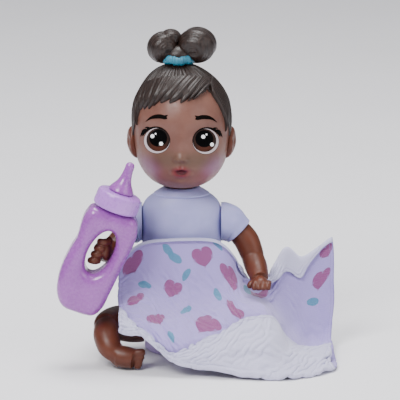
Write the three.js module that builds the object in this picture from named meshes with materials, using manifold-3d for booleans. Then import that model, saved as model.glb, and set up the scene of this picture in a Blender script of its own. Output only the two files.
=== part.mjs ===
// Seated mini baby doll with a feeding bottle in its right hand and a blanket over its lap.
// Millimetres, +Z up. The doll faces -Y and its left side is +X. The origin is the middle of the
// flat seat under the body, so the seat stands on z = 0.

import * as THREE from 'three';
import { mergeVertices } from 'three/addons/utils/BufferGeometryUtils.js';
import Module from 'manifold-3d';

const wasm = await Module();
wasm.setup();

// ---------------------------------------------------------------- driving dimensions
const GAP = 0.3;            // clearance between neighbouring pieces
const WALL = 1.8;           // moulded casing wall

const SEAT_SHELL_TOP = 18;  // height where the lower casing meets the upper one
const TORSO_TOP = 62.8;
const TORSO_SIDE = 15;      // half width between the two arm discs
const HIP_SIDE = 14;        // half width between the two leg discs
const HIP = { z: 10.5, hole: 2.8, shaft: 2.4, flange: 4.2 };
const SHOULDER = { z: 50.5, hole: 2.5, shaft: 2.1, flange: 3.4 };
const NECK = { hole: 4.6, shaft: 4.2, flange: 5.6 };

const CELL = { radius: 5.8, height: 5.4, count: 3 };   // LR44 button cells
const BATTERY_Z = 19.6;     // underside of the battery box
const BATTERY_Y = 2.4;      // middle of the cell stack
const DOOR = { halfWidth: 7.4, low: 19.7, high: 43.4 };
const SPEAKER = { radius: 5.6, y: 6.2, z: 49.5 };
const SWITCH = { x: 9.5, z: 30, travel: 3 };
const CASE_SCREWS = [[-10, 22.5, 10.5], [10, 22.5, 10.5], [-9.6, 43.6, 9.7], [9.6, 43.6, 9.7]];  // x, z, head

const HEAD = { y: -0.5, z: 87, x: 18.2, front: 19.6, back: 19.6, up: 23.2, down: 23 };
const MOUTH = { z: 74, radius: 2.6 };
const EAR = { x: 18.4, y: -1.2, z: 81.4 };
const HAIR_THICK = 1.3;
const TIE = { x: -1.1, y: -0.6, z: 113.2, radius: 6, height: 2.8 };

const BOTTLE = { x: -38.9, y: -25, z: 22.1, tilt: 0.342, depth: 13, bevel: 2.2 };
const BOTTLE_HOLE = { x: 0.6, z: 24.2, halfWidth: 4.5, halfHeight: 9, turn: 0.157 };
const BOTTLE_NECK_Z = 40.8;

const CLOTH = 1.2;          // thickness of the blanket's solid

const SKIN = { color: 0x6b4433, roughness: 0.42 };
const SHIRT = { color: 0xe9e6f2, roughness: 0.55 };
const PANTS = { color: 0xc9b6e0, roughness: 0.5 };
const HAIR = { color: 0x1f1a1d, roughness: 0.4 };
const TEAL = { color: 0x3fb8c4, roughness: 0.6 };
const LILAC = { color: 0xb58ad6, roughness: 0.25 };
const BLANKET = { color: 0xc3b4e2, roughness: 0.95 };
const METAL = { color: 0xb9bcc2, roughness: 0.35, metalness: 0.9 };
const BLACK = { color: 0x26282c, roughness: 0.5 };
const BOARD = { color: 0x2f6b45, roughness: 0.5 };
const LIP = { color: 0xa64a55, roughness: 0.4 };
const INNER = { color: 0xd9d9d6, roughness: 0.6 };

// ---------------------------------------------------------------- shape helpers
function welded(geometry) {
  const bare = geometry.index ? geometry.toNonIndexed() : geometry.clone();
  bare.deleteAttribute('normal');
  bare.deleteAttribute('uv');
  return mergeVertices(bare, 1e-4);
}

function solid(geometry) {
  const merged = welded(geometry);
  const index = merged.index.array;
  const kept = [];
  for (let i = 0; i < index.length; i += 3) {
    const [a, b, c] = [index[i], index[i + 1], index[i + 2]];
    if (a !== b && b !== c && a !== c) kept.push(a, b, c);
  }
  const mesh = new wasm.Mesh({
    numProp: 3,
    vertProperties: new Float32Array(merged.attributes.position.array),
    triVerts: new Uint32Array(kept),
  });
  return new wasm.Manifold(mesh);
}

function part(name, shape, look) {
  const { vertProperties, triVerts } = shape.getMesh();
  const geometry = new THREE.BufferGeometry();
  geometry.setAttribute('position', new THREE.BufferAttribute(vertProperties, 3));
  geometry.setIndex(new THREE.BufferAttribute(triVerts, 1));
  geometry.computeVertexNormals();
  const mesh = new THREE.Mesh(geometry, new THREE.MeshStandardMaterial({ metalness: 0, ...look }));
  mesh.name = name;
  return mesh;
}

function moveVertices(shape, place) {
  const geometry = welded(shape);
  const positions = geometry.attributes.position;
  const point = new THREE.Vector3();
  for (let i = 0; i < positions.count; i++) {
    place(point.fromBufferAttribute(positions, i));
    positions.setXYZ(i, point.x, point.y, point.z);
  }
  return geometry;
}

function block(x, y, z, w, d, h) {
  return solid(new THREE.BoxGeometry(w, d, h).translate(x, y, z));
}

// A cylinder from one point to another along X, Y or Z.
function rod(axis, x, y, z, radius, length, sides = 20) {
  const geometry = new THREE.CylinderGeometry(radius, radius, length, sides);
  if (axis === 'x') geometry.rotateZ(-Math.PI / 2);
  if (axis === 'z') geometry.rotateX(Math.PI / 2);
  return solid(geometry.translate(x, y, z));
}

function ball(x, y, z, rx, ry, rz, sides = 18, rings = 12) {
  const geometry = new THREE.SphereGeometry(1, sides, rings).rotateX(Math.PI / 2);
  return solid(geometry.scale(rx, ry, rz).translate(x, y, z));
}

// A stack of rounded-square sections; levels are [z, half width, half depth].
function tower(levels, inset = 0, sides = 28) {
  const profile = [new THREE.Vector2(0, 0)];
  levels.forEach((level, i) => profile.push(new THREE.Vector2(1, i)));
  profile.push(new THREE.Vector2(0, levels.length - 1));
  const geometry = new THREE.LatheGeometry(profile, sides);
  const squareness = 2.5;
  return solid(moveVertices(geometry, (p) => {
    const [z, halfWidth, halfDepth] = levels[Math.round(p.y)];
    const turn = Math.atan2(p.z, p.x);
    const reach = Math.hypot(p.x, p.z) / (
      Math.abs(Math.cos(turn)) ** squareness + Math.abs(Math.sin(turn)) ** squareness
    ) ** (1 / squareness);
    p.set(
      reach * Math.cos(turn) * (halfWidth - inset),
      -reach * Math.sin(turn) * (halfDepth - inset),
      z,
    );
  }));
}

// A round limb along a smooth curve through points [x, y, z, radius]. The first section is a flat
// disc square to `start`; the far end is rounded.
function limb(points, start, steps = 14, sides = 16) {
  const curve = new THREE.CatmullRomCurve3(points.map(([x, y, z]) => new THREE.Vector3(x, y, z)));
  const radii = new THREE.CatmullRomCurve3(
    points.map((p, i) => new THREE.Vector3(i / (points.length - 1), p[3], 0)),
  );
  const endRadius = points[points.length - 1][3];
  const endShare = 0.6 * endRadius / curve.getLength();
  const profile = [new THREE.Vector2(0, 0), new THREE.Vector2(1, 0)];
  for (let i = 1; i < steps; i++) profile.push(new THREE.Vector2(1, i / steps * (1 - endShare)));
  for (const angle of [0, 0.5, 1, 1.35]) {
    profile.push(new THREE.Vector2(Math.cos(angle), 1 - endShare + endShare * Math.sin(angle)));
  }
  profile.push(new THREE.Vector2(0, 1));
  const geometry = new THREE.LatheGeometry(profile, sides);
  return solid(moveVertices(geometry, (p) => {
    const t = Math.min(p.y, 1);
    const centre = curve.getPoint(t);
    const along = curve.getTangent(t).lerp(start, Math.max(0, 1 - 4 * t)).normalize();
    const side = new THREE.Vector3(0, 0, 1).cross(along);
    if (side.length() < 0.05) side.set(0, 1, 0);
    side.normalize();
    const up = along.clone().cross(side);
    const radius = radii.getPoint(t).y;
    p.copy(centre.addScaledVector(side, p.x * radius).addScaledVector(up, -p.z * radius));
  }));
}

// ---------------------------------------------------------------- torso casing
const TORSO_LEVELS = [
  [SEAT_SHELL_TOP + GAP, 15.8, 12.6], [24, 15.4, 12.2], [32, 15.3, 11.8], [42, 15.4, 11.2],
  [50, 15.4, 10.4], [55, 15, 9.8], [58.5, 13.2, 8.8], [61, 10, 7.6], [TORSO_TOP, 6.2, 6.2],
];
const SEAT_LEVELS = [
  [0, 11.6, 9.6], [1.2, 13.6, 11.4], [4, 15.4, 12.8], [9, 16.4, 13.6], [14, 16.2, 13.2],
  [SEAT_SHELL_TOP, 15.9, 12.7],
];

function torsoWall() {
  const inner = TORSO_LEVELS.map(([z, w, d], i) => {
    if (i === 0) return [z - 1, w, d];
    return [z - (i > 5 ? WALL : 0), w, d];
  });
  return tower(TORSO_LEVELS)
    .intersect(block(0, 0, 40, 2 * TORSO_SIDE, 40, 80))
    .subtract(tower(inner, WALL).intersect(block(0, 0, 40, 2 * (TORSO_SIDE - WALL), 40, 80)))
    .subtract(rod('x', 0, 0, SHOULDER.z, SHOULDER.hole, 40))
    .subtract(rod('z', 0, 0, TORSO_TOP, NECK.hole, 10));
}

function screwBoss([x, z]) {
  const wall = tower(TORSO_LEVELS, WALL - 0.2);
  return rod('y', x, -6.2, z, 1.8, 11.8, 10).intersect(wall).subtract(rod('y', x, -3.2, z, 1, 8, 10));
}

function frontShell() {
  let shell = torsoWall().intersect(block(0, -20 - GAP / 2, 40, 60, 40, 90));
  for (const screw of CASE_SCREWS) shell = shell.add(screwBoss(screw));
  return part('torso_front_shell', shell, SHIRT);
}

function backShell() {
  let shell = torsoWall().intersect(block(0, 20 + GAP / 2, 40, 60, 40, 90));
  const doorHeight = DOOR.high - DOOR.low + 2 * GAP;
  const doorMiddle = (DOOR.high + DOOR.low) / 2;
  shell = shell.subtract(block(0, 12, doorMiddle, 2 * (DOOR.halfWidth + GAP), 12, doorHeight));
  shell = shell.subtract(block(SWITCH.x, 10, SWITCH.z + SWITCH.travel / 2, 2.8, 10, 6.4));
  for (const [x, z, head] of CASE_SCREWS) {
    shell = shell.subtract(rod('y', x, 8, z, 1.1, 12, 8)).subtract(rod('y', x, head + 1.2, z, 1.8, 5, 10));
  }
  shell = shell.subtract(rod('y', 0, 10, SPEAKER.z, 0.7, 8, 8));
  for (let i = 0; i < 6; i++) {
    const turn = i * Math.PI / 3;
    const [x, z] = [2.6 * Math.cos(turn), SPEAKER.z + 2.6 * Math.sin(turn)];
    shell = shell.subtract(rod('y', x, 10, z, 0.7, 8, 8));
  }
  return part('torso_back_shell', shell, SHIRT);
}

function seatShell() {
  const inner = SEAT_LEVELS.filter(([z]) => z > 1).map(([z, w, d], i) => {
    return [i === 0 ? WALL : z + (z === SEAT_SHELL_TOP ? 1 : 0), w, d];
  });
  const shell = tower(SEAT_LEVELS)
    .intersect(block(0, 0, 10, 2 * HIP_SIDE, 40, 40))
    .subtract(tower(inner, WALL).intersect(block(0, 0, 10, 2 * (HIP_SIDE - WALL), 40, 40)))
    .subtract(rod('x', 0, 0, HIP.z, HIP.hole, 40));
  return part('seat_shell', shell, PANTS);
}

function screw(name, x, z, headY, length) {
  const shape = rod('y', x, headY - 0.5, z, 1.5, 1, 10)
    .add(rod('y', x, headY - 1 - length / 2 + 0.1, z, 0.75, length, 6))
    .subtract(block(x, headY, z, 2.2, 0.8, 0.45));
  return part(name, shape, METAL);
}

// ---------------------------------------------------------------- battery bay and electronics
function batteryBox() {
  const height = CELL.count * (CELL.height + GAP) + 3.3;
  const middle = BATTERY_Z + height / 2;
  const box = block(0, 1.95, middle, 13.6, 12.9, height)
    .add(block(0, 5.2, BATTERY_Z + height + 1.4, 6, 6.4, 3))
    .subtract(block(0, 4.2, middle, 12.2, 15.8, height - 1.6))
    .subtract(rod('y', 0, 6, BATTERY_Z + height + 1.6, 0.95, 10, 10));
  return part('battery_box', box, BLACK);
}

function cells() {
  const made = [];
  for (let i = 0; i < CELL.count; i++) {
    const z = BATTERY_Z + 1.9 + i * (CELL.height + GAP);
    const cell = rod('z', 0, BATTERY_Y, z + CELL.height / 2 - 0.2, CELL.radius, CELL.height - 0.4, 20)
      .add(rod('z', 0, BATTERY_Y, z + CELL.height - 0.5, CELL.radius - 1.2, 0.9, 16));
    made.push(part(`button_cell_${i + 1}`, cell, METAL));
  }
  return made;
}

function contacts() {
  const top = BATTERY_Z + 1.9 + CELL.count * (CELL.height + GAP);
  const spring = block(0, BATTERY_Y, BATTERY_Z + 1.25, 9, 9, 0.4)
    .add(rod('z', 0, BATTERY_Y, BATTERY_Z + 1.4, 2.2, 0.5, 12));
  const plate = block(0, BATTERY_Y, top + 0.05, 9, 9, 0.4);
  return [part('spring_contact', spring, METAL), part('plate_contact', plate, METAL)];
}

function batteryDoor() {
  const height = DOOR.high - DOOR.low;
  const door = torsoWall()
    .intersect(block(0, 14, DOOR.low + height / 2, 2 * DOOR.halfWidth, 11, height))
    .subtract(rod('y', 0, 10, 41.8, 1, 10, 8))
    .subtract(rod('y', 0, 12.4, 41.8, 1.8, 5, 12));
  return [part('battery_door', door, SHIRT), screw('battery_door_screw', 0, 41.8, 11.2, 5.4)];
}

function electronics() {
  const board = part('circuit_board', block(0, -6.3, 32, 15.2, 1, 20), BOARD);
  const chip = part('control_chip', rod('y', -2, -7.5, 30, 2.2, 0.8, 16), BLACK);
  const tilt = part('tilt_switch', rod('x', 3.4, -8, 37.6, 1, 4.2, 12), METAL);
  const cone = rod('y', 0, SPEAKER.y, SPEAKER.z, SPEAKER.radius, 2.6, 20)
    .add(rod('y', 0, SPEAKER.y - 2, SPEAKER.z, 2.8, 2.2, 16));
  const ring = rod('y', 0, SPEAKER.y - 2.2, SPEAKER.z, SPEAKER.radius, 0.8, 20)
    .subtract(rod('y', 0, SPEAKER.y - 2.2, SPEAKER.z, 3.2, 2, 16));
  const base = part('switch_base', block(SWITCH.x - 0.2, 4.4, SWITCH.z + 1.5, 3.6, 3.2, 7), METAL);
  return [
    board, chip, tilt, part('speaker', cone, METAL), part('speaker_retainer', ring, BLACK), base,
  ];
}

function powerSwitch() {
  const knob = block(SWITCH.x, 8.4, SWITCH.z, 2, 4.2, 2.6);
  return part('power_switch_knob', knob, PANTS);
}

function neckPost() {
  const post = rod('z', 0, 0, 64, NECK.shaft, 14, 20)
    .add(rod('z', 0, 0, 57, NECK.flange, 1.4, 20))
    .add(rod('z', 0, 0, 71.4, NECK.flange, 1.4, 20));
  return part('neck_post', post, SKIN);
}

function torso() {
  const group = new THREE.Group();
  group.add(seatShell(), frontShell(), backShell(), neckPost(), batteryBox(), ...cells());
  group.add(...contacts(), ...batteryDoor(), ...electronics(), powerSwitch());
  CASE_SCREWS.forEach(([x, z, head], i) => {
    group.add(screw(`case_screw_${i + 1}`, x, z, head, 8.6));
  });
  return group;
}

// ---------------------------------------------------------------- head
// The head's outside, grown by `grow`: an egg with full cheeks and a round, low jaw.
function headForm(grow, sides = 24, rings = 16) {
  const fullness = 2.55;
  const geometry = new THREE.SphereGeometry(1, sides, rings).rotateX(Math.PI / 2);
  return solid(moveVertices(geometry, (p) => {
    const round = Math.hypot(p.x, p.y) || 1;
    const low = p.z < 0 ? (1 - Math.min(1, -p.z) ** fullness) ** (1 / fullness) / round : 1;
    const face = THREE.MathUtils.clamp(-2 * p.y, 0, 1);
    const muzzle = 1 + 0.05 * face * Math.exp(-(((p.z + 0.55) / 0.28) ** 2));
    const depth = p.y < 0 ? HEAD.front : HEAD.back;
    const height = p.z > 0 ? HEAD.up : HEAD.down;
    p.set(
      p.x * low * (HEAD.x + grow),
      HEAD.y + p.y * low * (depth + grow) * muzzle,
      HEAD.z + p.z * (height + grow),
    );
  }));
}

function ear(side, grow) {
  return ball(side * EAR.x, EAR.y, EAR.z, 2.2 + grow, 3.6 + grow, 5.8 + grow, 12, 8);
}

function headShell() {
  const nose = ball(0, -19.4, 80.6, 2.1, 2.2, 1.9, 10, 8);
  const shell = headForm(0).add(ear(-1, 0)).add(ear(1, 0)).add(nose)
    .subtract(headForm(-WALL, 16, 12))
    .subtract(rod('z', 0, 0, 66, NECK.hole, 8, 20))
    .subtract(rod('y', 0, -19, MOUTH.z, MOUTH.radius + GAP, 12, 16));
  return part('head_shell', shell, SKIN);
}

// The face opening of the moulded hair: a fringe line across the forehead, open down to the jaw
// in front of the ears.
function faceOpening() {
  const fringe = new THREE.Shape();
  fringe.moveTo(-24, 60);
  fringe.lineTo(24, 60);
  fringe.lineTo(24, 88);
  fringe.lineTo(17.6, 92);
  fringe.quadraticCurveTo(14.4, 101, 10.2, 104.6);
  fringe.quadraticCurveTo(6, 99.4, 0, 99.8);
  fringe.quadraticCurveTo(-4.4, 99, -7.4, 102.4);
  fringe.quadraticCurveTo(-12, 97.4, -17.6, 97.6);
  fringe.lineTo(-18.6, 89);
  fringe.lineTo(-24, 88);
  const front = new THREE.ExtrudeGeometry(fringe, { depth: 24, bevelEnabled: false, curveSegments: 6 });
  const jaw = block(0, -13, 74, 60, 31, 30);
  return solid(front.rotateX(Math.PI / 2).translate(0, -6, 0)).add(jaw);
}

function hairCap() {
  const cap = headForm(HAIR_THICK + 0.4)
    .add(ball(TIE.x, TIE.y, 108.6, 9, 9, 3.6, 20, 10))
    .subtract(headForm(GAP))
    .subtract(faceOpening())
    .subtract(ear(-1, GAP))
    .subtract(ear(1, GAP))
    .subtract(block(0, 10, 62, 60, 60, 20))
    .subtract(rod('z', TIE.x, TIE.y, TIE.z + 1, TIE.radius + 2, TIE.height + 2 + 2 * GAP, 24));
  return part('hair_cap', cap, HAIR);
}

function hairTie() {
  const half = TIE.height / 2;
  const profile = [[0, -half], [5, -half], [6, -half * 0.4], [6, half * 0.4], [5, half], [0, half]];
  const lathe = new THREE.LatheGeometry(profile.map(([r, z]) => new THREE.Vector2(r, z)), 24);
  const ruffle = 0.05;
  const geometry = moveVertices(lathe.rotateX(Math.PI / 2), (p) => {
    const wave = 1 + ruffle * Math.cos(8 * Math.atan2(p.y, p.x));
    p.set(p.x * wave + TIE.x, p.y * wave + TIE.y, p.z + TIE.z);
  });
  return part('hair_tie', solid(geometry), TEAL);
}

function bun(name, x, z, halfWidth, halfHeight) {
  const middle = TIE.x + Math.sign(x - TIE.x) * (GAP / 2 + 20);
  const shape = ball(x, 1, z, halfWidth, halfWidth, halfHeight, 16, 10)
    .intersect(block(middle, 0, 118, 40, 60, 40))
    .subtract(headForm(HAIR_THICK + 0.4 + GAP))
    .subtract(rod('z', TIE.x, TIE.y, TIE.z - 2, TIE.radius + 0.4 + GAP, TIE.height + 4 + 2 * GAP, 24));
  return part(name, shape, HAIR);
}

function mouthInsert() {
  const insert = rod('y', 0, -16.6, MOUTH.z, MOUTH.radius, 5.6, 16)
    .subtract(rod('y', 0, -19.4, MOUTH.z, 1.1, 4, 10));
  return part('mouth_insert', insert, LIP);
}

function head() {
  const group = new THREE.Group();
  const retainer = rod('z', 0, 0, 69.3, 6.2, 2, 20).subtract(rod('z', 0, 0, 69.3, NECK.hole, 4, 20));
  group.add(headShell(), hairCap(), hairTie(), mouthInsert());
  group.add(bun('bun_left', 6.3, 118.6, 7, 6.8), bun('bun_right', -7.2, 118, 5.8, 6.2));
  group.add(part('neck_retainer', retainer, INNER));
  group.add(part('mouth_switch', block(0, -11.4, MOUTH.z, 5, 3, 3.6), BLACK));
  return group;
}

// ---------------------------------------------------------------- arms and legs
function peg(name, side, z, size, inside, outside) {
  const shape = rod('x', side * (inside + 0.8), 0, z, size.flange, 1.6, 16)
    .add(rod('x', side * (inside + outside) / 2, 0, z, size.shaft, outside - inside, 12));
  return part(name, shape, INNER);
}

function arm(side, label, hem, forearm) {
  const group = new THREE.Group();
  const outward = new THREE.Vector3(side, 0, 0);
  const start = side * (TORSO_SIDE + GAP);
  const [hx, hy, hz] = hem;
  const outside = block(start + side * 20, 0, 50, 40, 80, 80);
  const sleevePath = [
    [start, 0, SHOULDER.z, 6.9], [side * 18.4, hy * 0.3, SHOULDER.z - 1.2, 6.8], [...hem, 5.6],
  ];
  const cutPath = sleevePath.map(([x, y, z, radius]) => [x, y, z, radius + GAP]);
  const sleeve = limb(sleevePath, outward, 6, 16).intersect(outside);
  const [ex, ey, ez] = forearm[0];
  const bend = new THREE.Vector3(ex - hx, ey - hy, ez - hz).normalize();
  const armShape = limb([[...hem, 4.4], ...forearm], bend, 10, 14).subtract(limb(cutPath, outward, 6, 16));
  const socket = rod('x', side * 17, 0, SHOULDER.z, SHOULDER.shaft + GAP, 6, 14);
  group.add(part(`sleeve_${label}`, sleeve.subtract(socket), SHIRT));
  group.add(part(`arm_${label}`, armShape, SKIN));
  group.add(peg(`shoulder_peg_${label}`, side, SHOULDER.z, SHOULDER, 11, 19.4));
  return group;
}

function leg(side, label, footReach) {
  const group = new THREE.Group();
  const start = HIP_SIDE + GAP;
  const path = [
    [start, 0, HIP.z, 7.4], [19.5, -4.5, 11.4, 7.2], [25, -12, 13.4, 6.2], [28.2, -20, 14.8, 5],
    [28.2, -26, 10.6, 4.6], [25, -29, 6.4, 4.1], [20.5, -30.6, 4.8, 4.2], [footReach, -31.2, 4.4, 3.8],
  ].map(([x, y, z, r]) => [side * x, y, z, r]);
  const shape = limb(path, new THREE.Vector3(side, 0, 0), 16, 14)
    .subtract(block(side * (start - 5), 2, 10, 10, 24, 30))
    .subtract(rod('x', side * 16, 0, HIP.z, HIP.shaft + GAP, 5, 14));
  group.add(part(`leg_${label}`, shape, SKIN));
  group.add(peg(`hip_peg_${label}`, side, HIP.z, HIP, 10, 18.2));
  return group;
}

// ---------------------------------------------------------------- bottle
function bottleOutline() {
  const corners = [
    [-6, 0], [-9.6, 4], [-11.1, 9.4], [-11.3, 15.5], [-10.5, 22], [-9.6, 26.2], [-9.7, 29.6],
    [-9.9, 33.3], [-9.5, 36.7], [-7.4, 40], [0, 40.6], [7.8, 40.4], [10.3, 38.2], [11.4, 34],
    [11.2, 29], [10.4, 22.5], [9.8, 17], [9, 9.5], [8.2, 4], [5.6, 0.2],
  ];
  const curve = new THREE.CatmullRomCurve3(corners.map(([x, z]) => new THREE.Vector3(x, z, 0)), true);
  return new THREE.Shape(curve.getPoints(45).slice(1).map((p) => new THREE.Vector2(p.x, p.y)));
}

function bottle() {
  const group = new THREE.Group();
  const { bevel } = BOTTLE;
  const core = BOTTLE.depth - 2 * bevel;
  const geometry = new THREE.ExtrudeGeometry(bottleOutline(), {
    depth: core, bevelThickness: bevel, bevelSize: bevel, bevelOffset: -bevel, bevelSegments: 2,
  });
  const hole = new THREE.CylinderGeometry(1, 1, 30, 24)
    .scale(BOTTLE_HOLE.halfWidth, 1, BOTTLE_HOLE.halfHeight)
    .rotateY(BOTTLE_HOLE.turn)
    .translate(BOTTLE_HOLE.x, 0, BOTTLE_HOLE.z);
  const neck = rod('z', 0.3, 0, BOTTLE_NECK_Z + 2.4, 4.4, 5.6, 16);
  const body = solid(geometry.rotateX(Math.PI / 2).translate(0, core / 2, 0)).subtract(solid(hole));
  group.add(part('bottle_body', body.add(neck), LILAC));

  const collar = rod('z', 0.3, 0, BOTTLE_NECK_Z + 3.3 + GAP / 2, 8, 6.4, 24)
    .subtract(rod('z', 0.3, 0, BOTTLE_NECK_Z + 1, 4.4 + GAP, 10.6, 16));
  group.add(part('bottle_collar', collar, LILAC));

  const teat = [[0, 47.8], [5.2, 47.8], [4.6, 49.8], [3.2, 51.6], [2.2, 54], [2.3, 57], [1.7, 59], [0, 59.7]];
  const profile = teat.map(([r, z]) => new THREE.Vector2(r, z));
  const nipple = solid(new THREE.LatheGeometry(profile, 18).rotateX(Math.PI / 2).translate(0.3, 0, 0))
    .subtract(rod('z', 0.3, 0, 50, 1.4, 12, 12));
  group.add(part('bottle_nipple', nipple, LILAC));
  group.add(part('bottle_magnet', rod('z', 0.3, 0, 53.6, 1.1, 4, 12), METAL));

  group.position.set(BOTTLE.x, BOTTLE.y, BOTTLE.z);
  group.rotation.y = BOTTLE.tilt;
  return group;
}

// ---------------------------------------------------------------- blanket
// Sections of the blanket from its back edge to its front hem, [y, z], at each place across.
const BLANKET_RIBS = [
  [-22.5, [[-13.6, 36.5], [-15, 31], [-19, 26], [-25, 23.5], [-31, 20.5], [-35, 17.5], [-36.5, 14.5]]],
  [-14, [[-13.2, 45], [-13.8, 36], [-16.5, 28], [-23, 24], [-31, 20], [-36, 17], [-38, 14.5]]],
  [-4, [[-13.2, 45.6], [-13.8, 36], [-16, 27], [-23, 21.6], [-31, 18], [-37.5, 12], [-40, 7]]],
  [8, [[-13.2, 46], [-13.8, 36], [-16, 27], [-23, 21.6], [-31, 18], [-38.5, 11], [-41.5, 4]]],
  [16, [[-12.8, 43], [-13.8, 34], [-16.5, 27.5], [-23, 23.5], [-31, 20], [-38.5, 11], [-42.5, 2.5]]],
  [24, [[-7, 24.4], [-11, 23.8], [-17, 23.2], [-24, 22.6], [-31, 17], [-38.5, 9], [-44, 2]]],
  [35, [[2, 14], [-6, 17], [-14, 19], [-21, 19.5], [-29, 16], [-38, 7], [-46, 1.6]]],
  [42, [[8, 6], [0, 4], [-10, 3], [-20, 2.6], [-30, 2.2], [-38, 1.6], [-46, 1]]],
  [50, [[9, 29], [7, 15], [2, 4], [-9, 1.7], [-21, 1.4], [-32, 1.2], [-41, 1]]],
  [58, [[8, 40], [6.5, 20], [2, 5], [-8, 1.7], [-18, 1.4], [-27, 1.2], [-34, 1]]],
];

function blanketPoint(across, down) {
  const edge = new THREE.CatmullRomCurve3(BLANKET_RIBS.map(([x, rib]) => {
    const line = new THREE.CatmullRomCurve3(rib.map(([y, z]) => new THREE.Vector3(x, y, z)));
    return line.getPoint(down);
  }));
  return edge.getPoint(across);
}

function blanket() {
  const [columns, rows] = [18, 10];
  const step = 0.01;
  const geometry = moveVertices(new THREE.BoxGeometry(1, 1, 1, columns, rows, 1), (p) => {
    const [across, down, lift] = [p.x + 0.5, 0.5 - p.y, p.z + 0.5];
    const here = blanketPoint(across, down);
    const side = blanketPoint(Math.min(across + step, 1), down);
    side.sub(blanketPoint(Math.max(across - step, 0), down));
    const front = blanketPoint(across, Math.min(down + step, 1));
    front.sub(blanketPoint(across, Math.max(down - step, 0)));
    const out = front.cross(side).normalize();
    p.copy(here.addScaledVector(out, lift * CLOTH));
  });
  return part('blanket', solid(geometry), BLANKET);
}

// ---------------------------------------------------------------- assembly
const doll = new THREE.Group();
doll.add(torso(), head(), bottle(), blanket());
doll.add(arm(1, 'left', [21.6, -0.4, 45], [
  [25, -1, 40.4, 4.4], [27.2, -3.4, 36.4, 4.3], [29, -9, 32, 3.8], [30, -14.4, 29.8, 4],
]));
doll.add(arm(-1, 'right', [-21.2, -2.6, 45.4], [
  [-24.6, -5.4, 41.4, 4.4], [-27.6, -9, 40.4, 4.2], [-29.8, -14.4, 42.4, 3.8], [-30.4, -23, 44.6, 3.8],
]));
doll.add(leg(1, 'left', 12.5), leg(-1, 'right', 15.5));

export default doll;
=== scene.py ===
"""Looks of a seated mini baby doll with its feeding bottle and blanket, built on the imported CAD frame.

Shapes are worked out in millimetres in the frame's own axes (+Z up, the doll faces -Y, its left is +X)
and turned into metres when a mesh is made.
"""

import math

import bpy
import bmesh
import numpy as np
from mathutils import Matrix, Vector
from mathutils.bvhtree import BVHTree


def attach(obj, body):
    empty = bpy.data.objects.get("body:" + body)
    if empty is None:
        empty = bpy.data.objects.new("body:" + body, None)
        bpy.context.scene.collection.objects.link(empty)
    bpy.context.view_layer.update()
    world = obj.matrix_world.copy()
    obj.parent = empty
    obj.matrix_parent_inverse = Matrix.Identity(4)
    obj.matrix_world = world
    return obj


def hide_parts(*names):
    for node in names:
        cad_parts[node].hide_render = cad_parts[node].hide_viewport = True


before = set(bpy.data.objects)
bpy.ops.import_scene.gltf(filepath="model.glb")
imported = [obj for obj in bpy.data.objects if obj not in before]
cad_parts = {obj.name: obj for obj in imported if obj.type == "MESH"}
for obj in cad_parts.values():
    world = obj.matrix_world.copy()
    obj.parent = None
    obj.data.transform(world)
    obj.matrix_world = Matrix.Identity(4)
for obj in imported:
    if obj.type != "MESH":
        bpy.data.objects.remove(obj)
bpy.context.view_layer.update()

MM = 0.001
VIEW_TILT = math.radians(12.5)     # the doll is looked at from this far above level

# The head's middle (y, z) and how far it reaches from there
HEAD = {"y": -0.5, "z": 87.0, "x": 18.2, "front": 19.4, "back": 19.6, "up": 23.2, "down": 23.0}
HAIR_LIFT = 1.5                    # thickness of the moulded hair
TIE = (-1.1, -0.6, 113.2)          # middle of the hair tie
SHOULDER_Z = 50.5
HIP_Z = 10.5


# ------------------------------------------------------------------ mesh helpers
def placed(name, data):
    """A new object of that mesh, in the scene."""
    piece = bpy.data.objects.new(name, data)
    bpy.context.scene.collection.objects.link(piece)
    return piece


def make_mesh(name, vertices, faces, smooth=True):
    """An object from millimetre vertices."""
    mesh = bpy.data.meshes.new(name)
    mesh.from_pydata([tuple(v) for v in np.asarray(vertices) * MM], [], [tuple(f) for f in faces])
    mesh.update()
    if smooth:
        mesh.shade_smooth()
    return placed(name, mesh)


def wrap_faces(rows, columns, start=0):
    """Quads of a tube of rows x columns points that closes on itself across."""
    faces = []
    for r in range(rows - 1):
        for c in range(columns):
            a = start + r * columns + c
            b = start + r * columns + (c + 1) % columns
            faces.append((a, b, b + columns, a + columns))
    return faces


def sheet_faces(rows, columns):
    """Quads of an open sheet of rows x columns points."""
    faces = []
    for r in range(rows - 1):
        for c in range(columns - 1):
            a = r * columns + c
            faces.append((a, a + 1, a + columns + 1, a + columns))
    return faces


def tube_mesh(name, rings):
    """A tube through rings of points, an array of rows x columns x 3, with a point at each end."""
    rows, columns = rings.shape[:2]
    vertices = list(rings.reshape(-1, 3))
    first = len(vertices)
    last = first + 1
    vertices += [rings[0].mean(axis=0), rings[-1].mean(axis=0)]
    faces = wrap_faces(rows, columns)
    base = (rows - 1) * columns
    for c in range(columns):
        faces.append((first, (c + 1) % columns, c))
        faces.append((last, base + c, base + (c + 1) % columns))
    return make_mesh(name, vertices, faces)


def round_angles(count):
    """Evenly spaced angles once round."""
    return np.linspace(0, 2 * math.pi, count, endpoint=False)


def ball_grid(rows, columns):
    """Azimuths as a row and heights from -1 to 1 as a column, for points all over a ball."""
    height = np.sin(np.linspace(-math.pi / 2, math.pi / 2, rows + 2)[1:-1])[:, None]
    return round_angles(columns)[None, :], height


def grid_points(x, y, z):
    """Coordinates of any matching shapes as one array of points."""
    return np.stack(np.broadcast_arrays(x, y, z), axis=-1)


def smooth_step(low, high, value):
    """0 below low, 1 above high, and a smooth rise between."""
    t = np.clip((value - low) / (high - low), 0, 1)
    return t * t * (3 - 2 * t)


def bump(x, z, cx, cz, wx, wz):
    """A round hill of height 1 at (cx, cz), wx wide and wz high."""
    return np.exp(-((x - cx) / wx) ** 2 - ((z - cz) / wz) ** 2)


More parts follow.
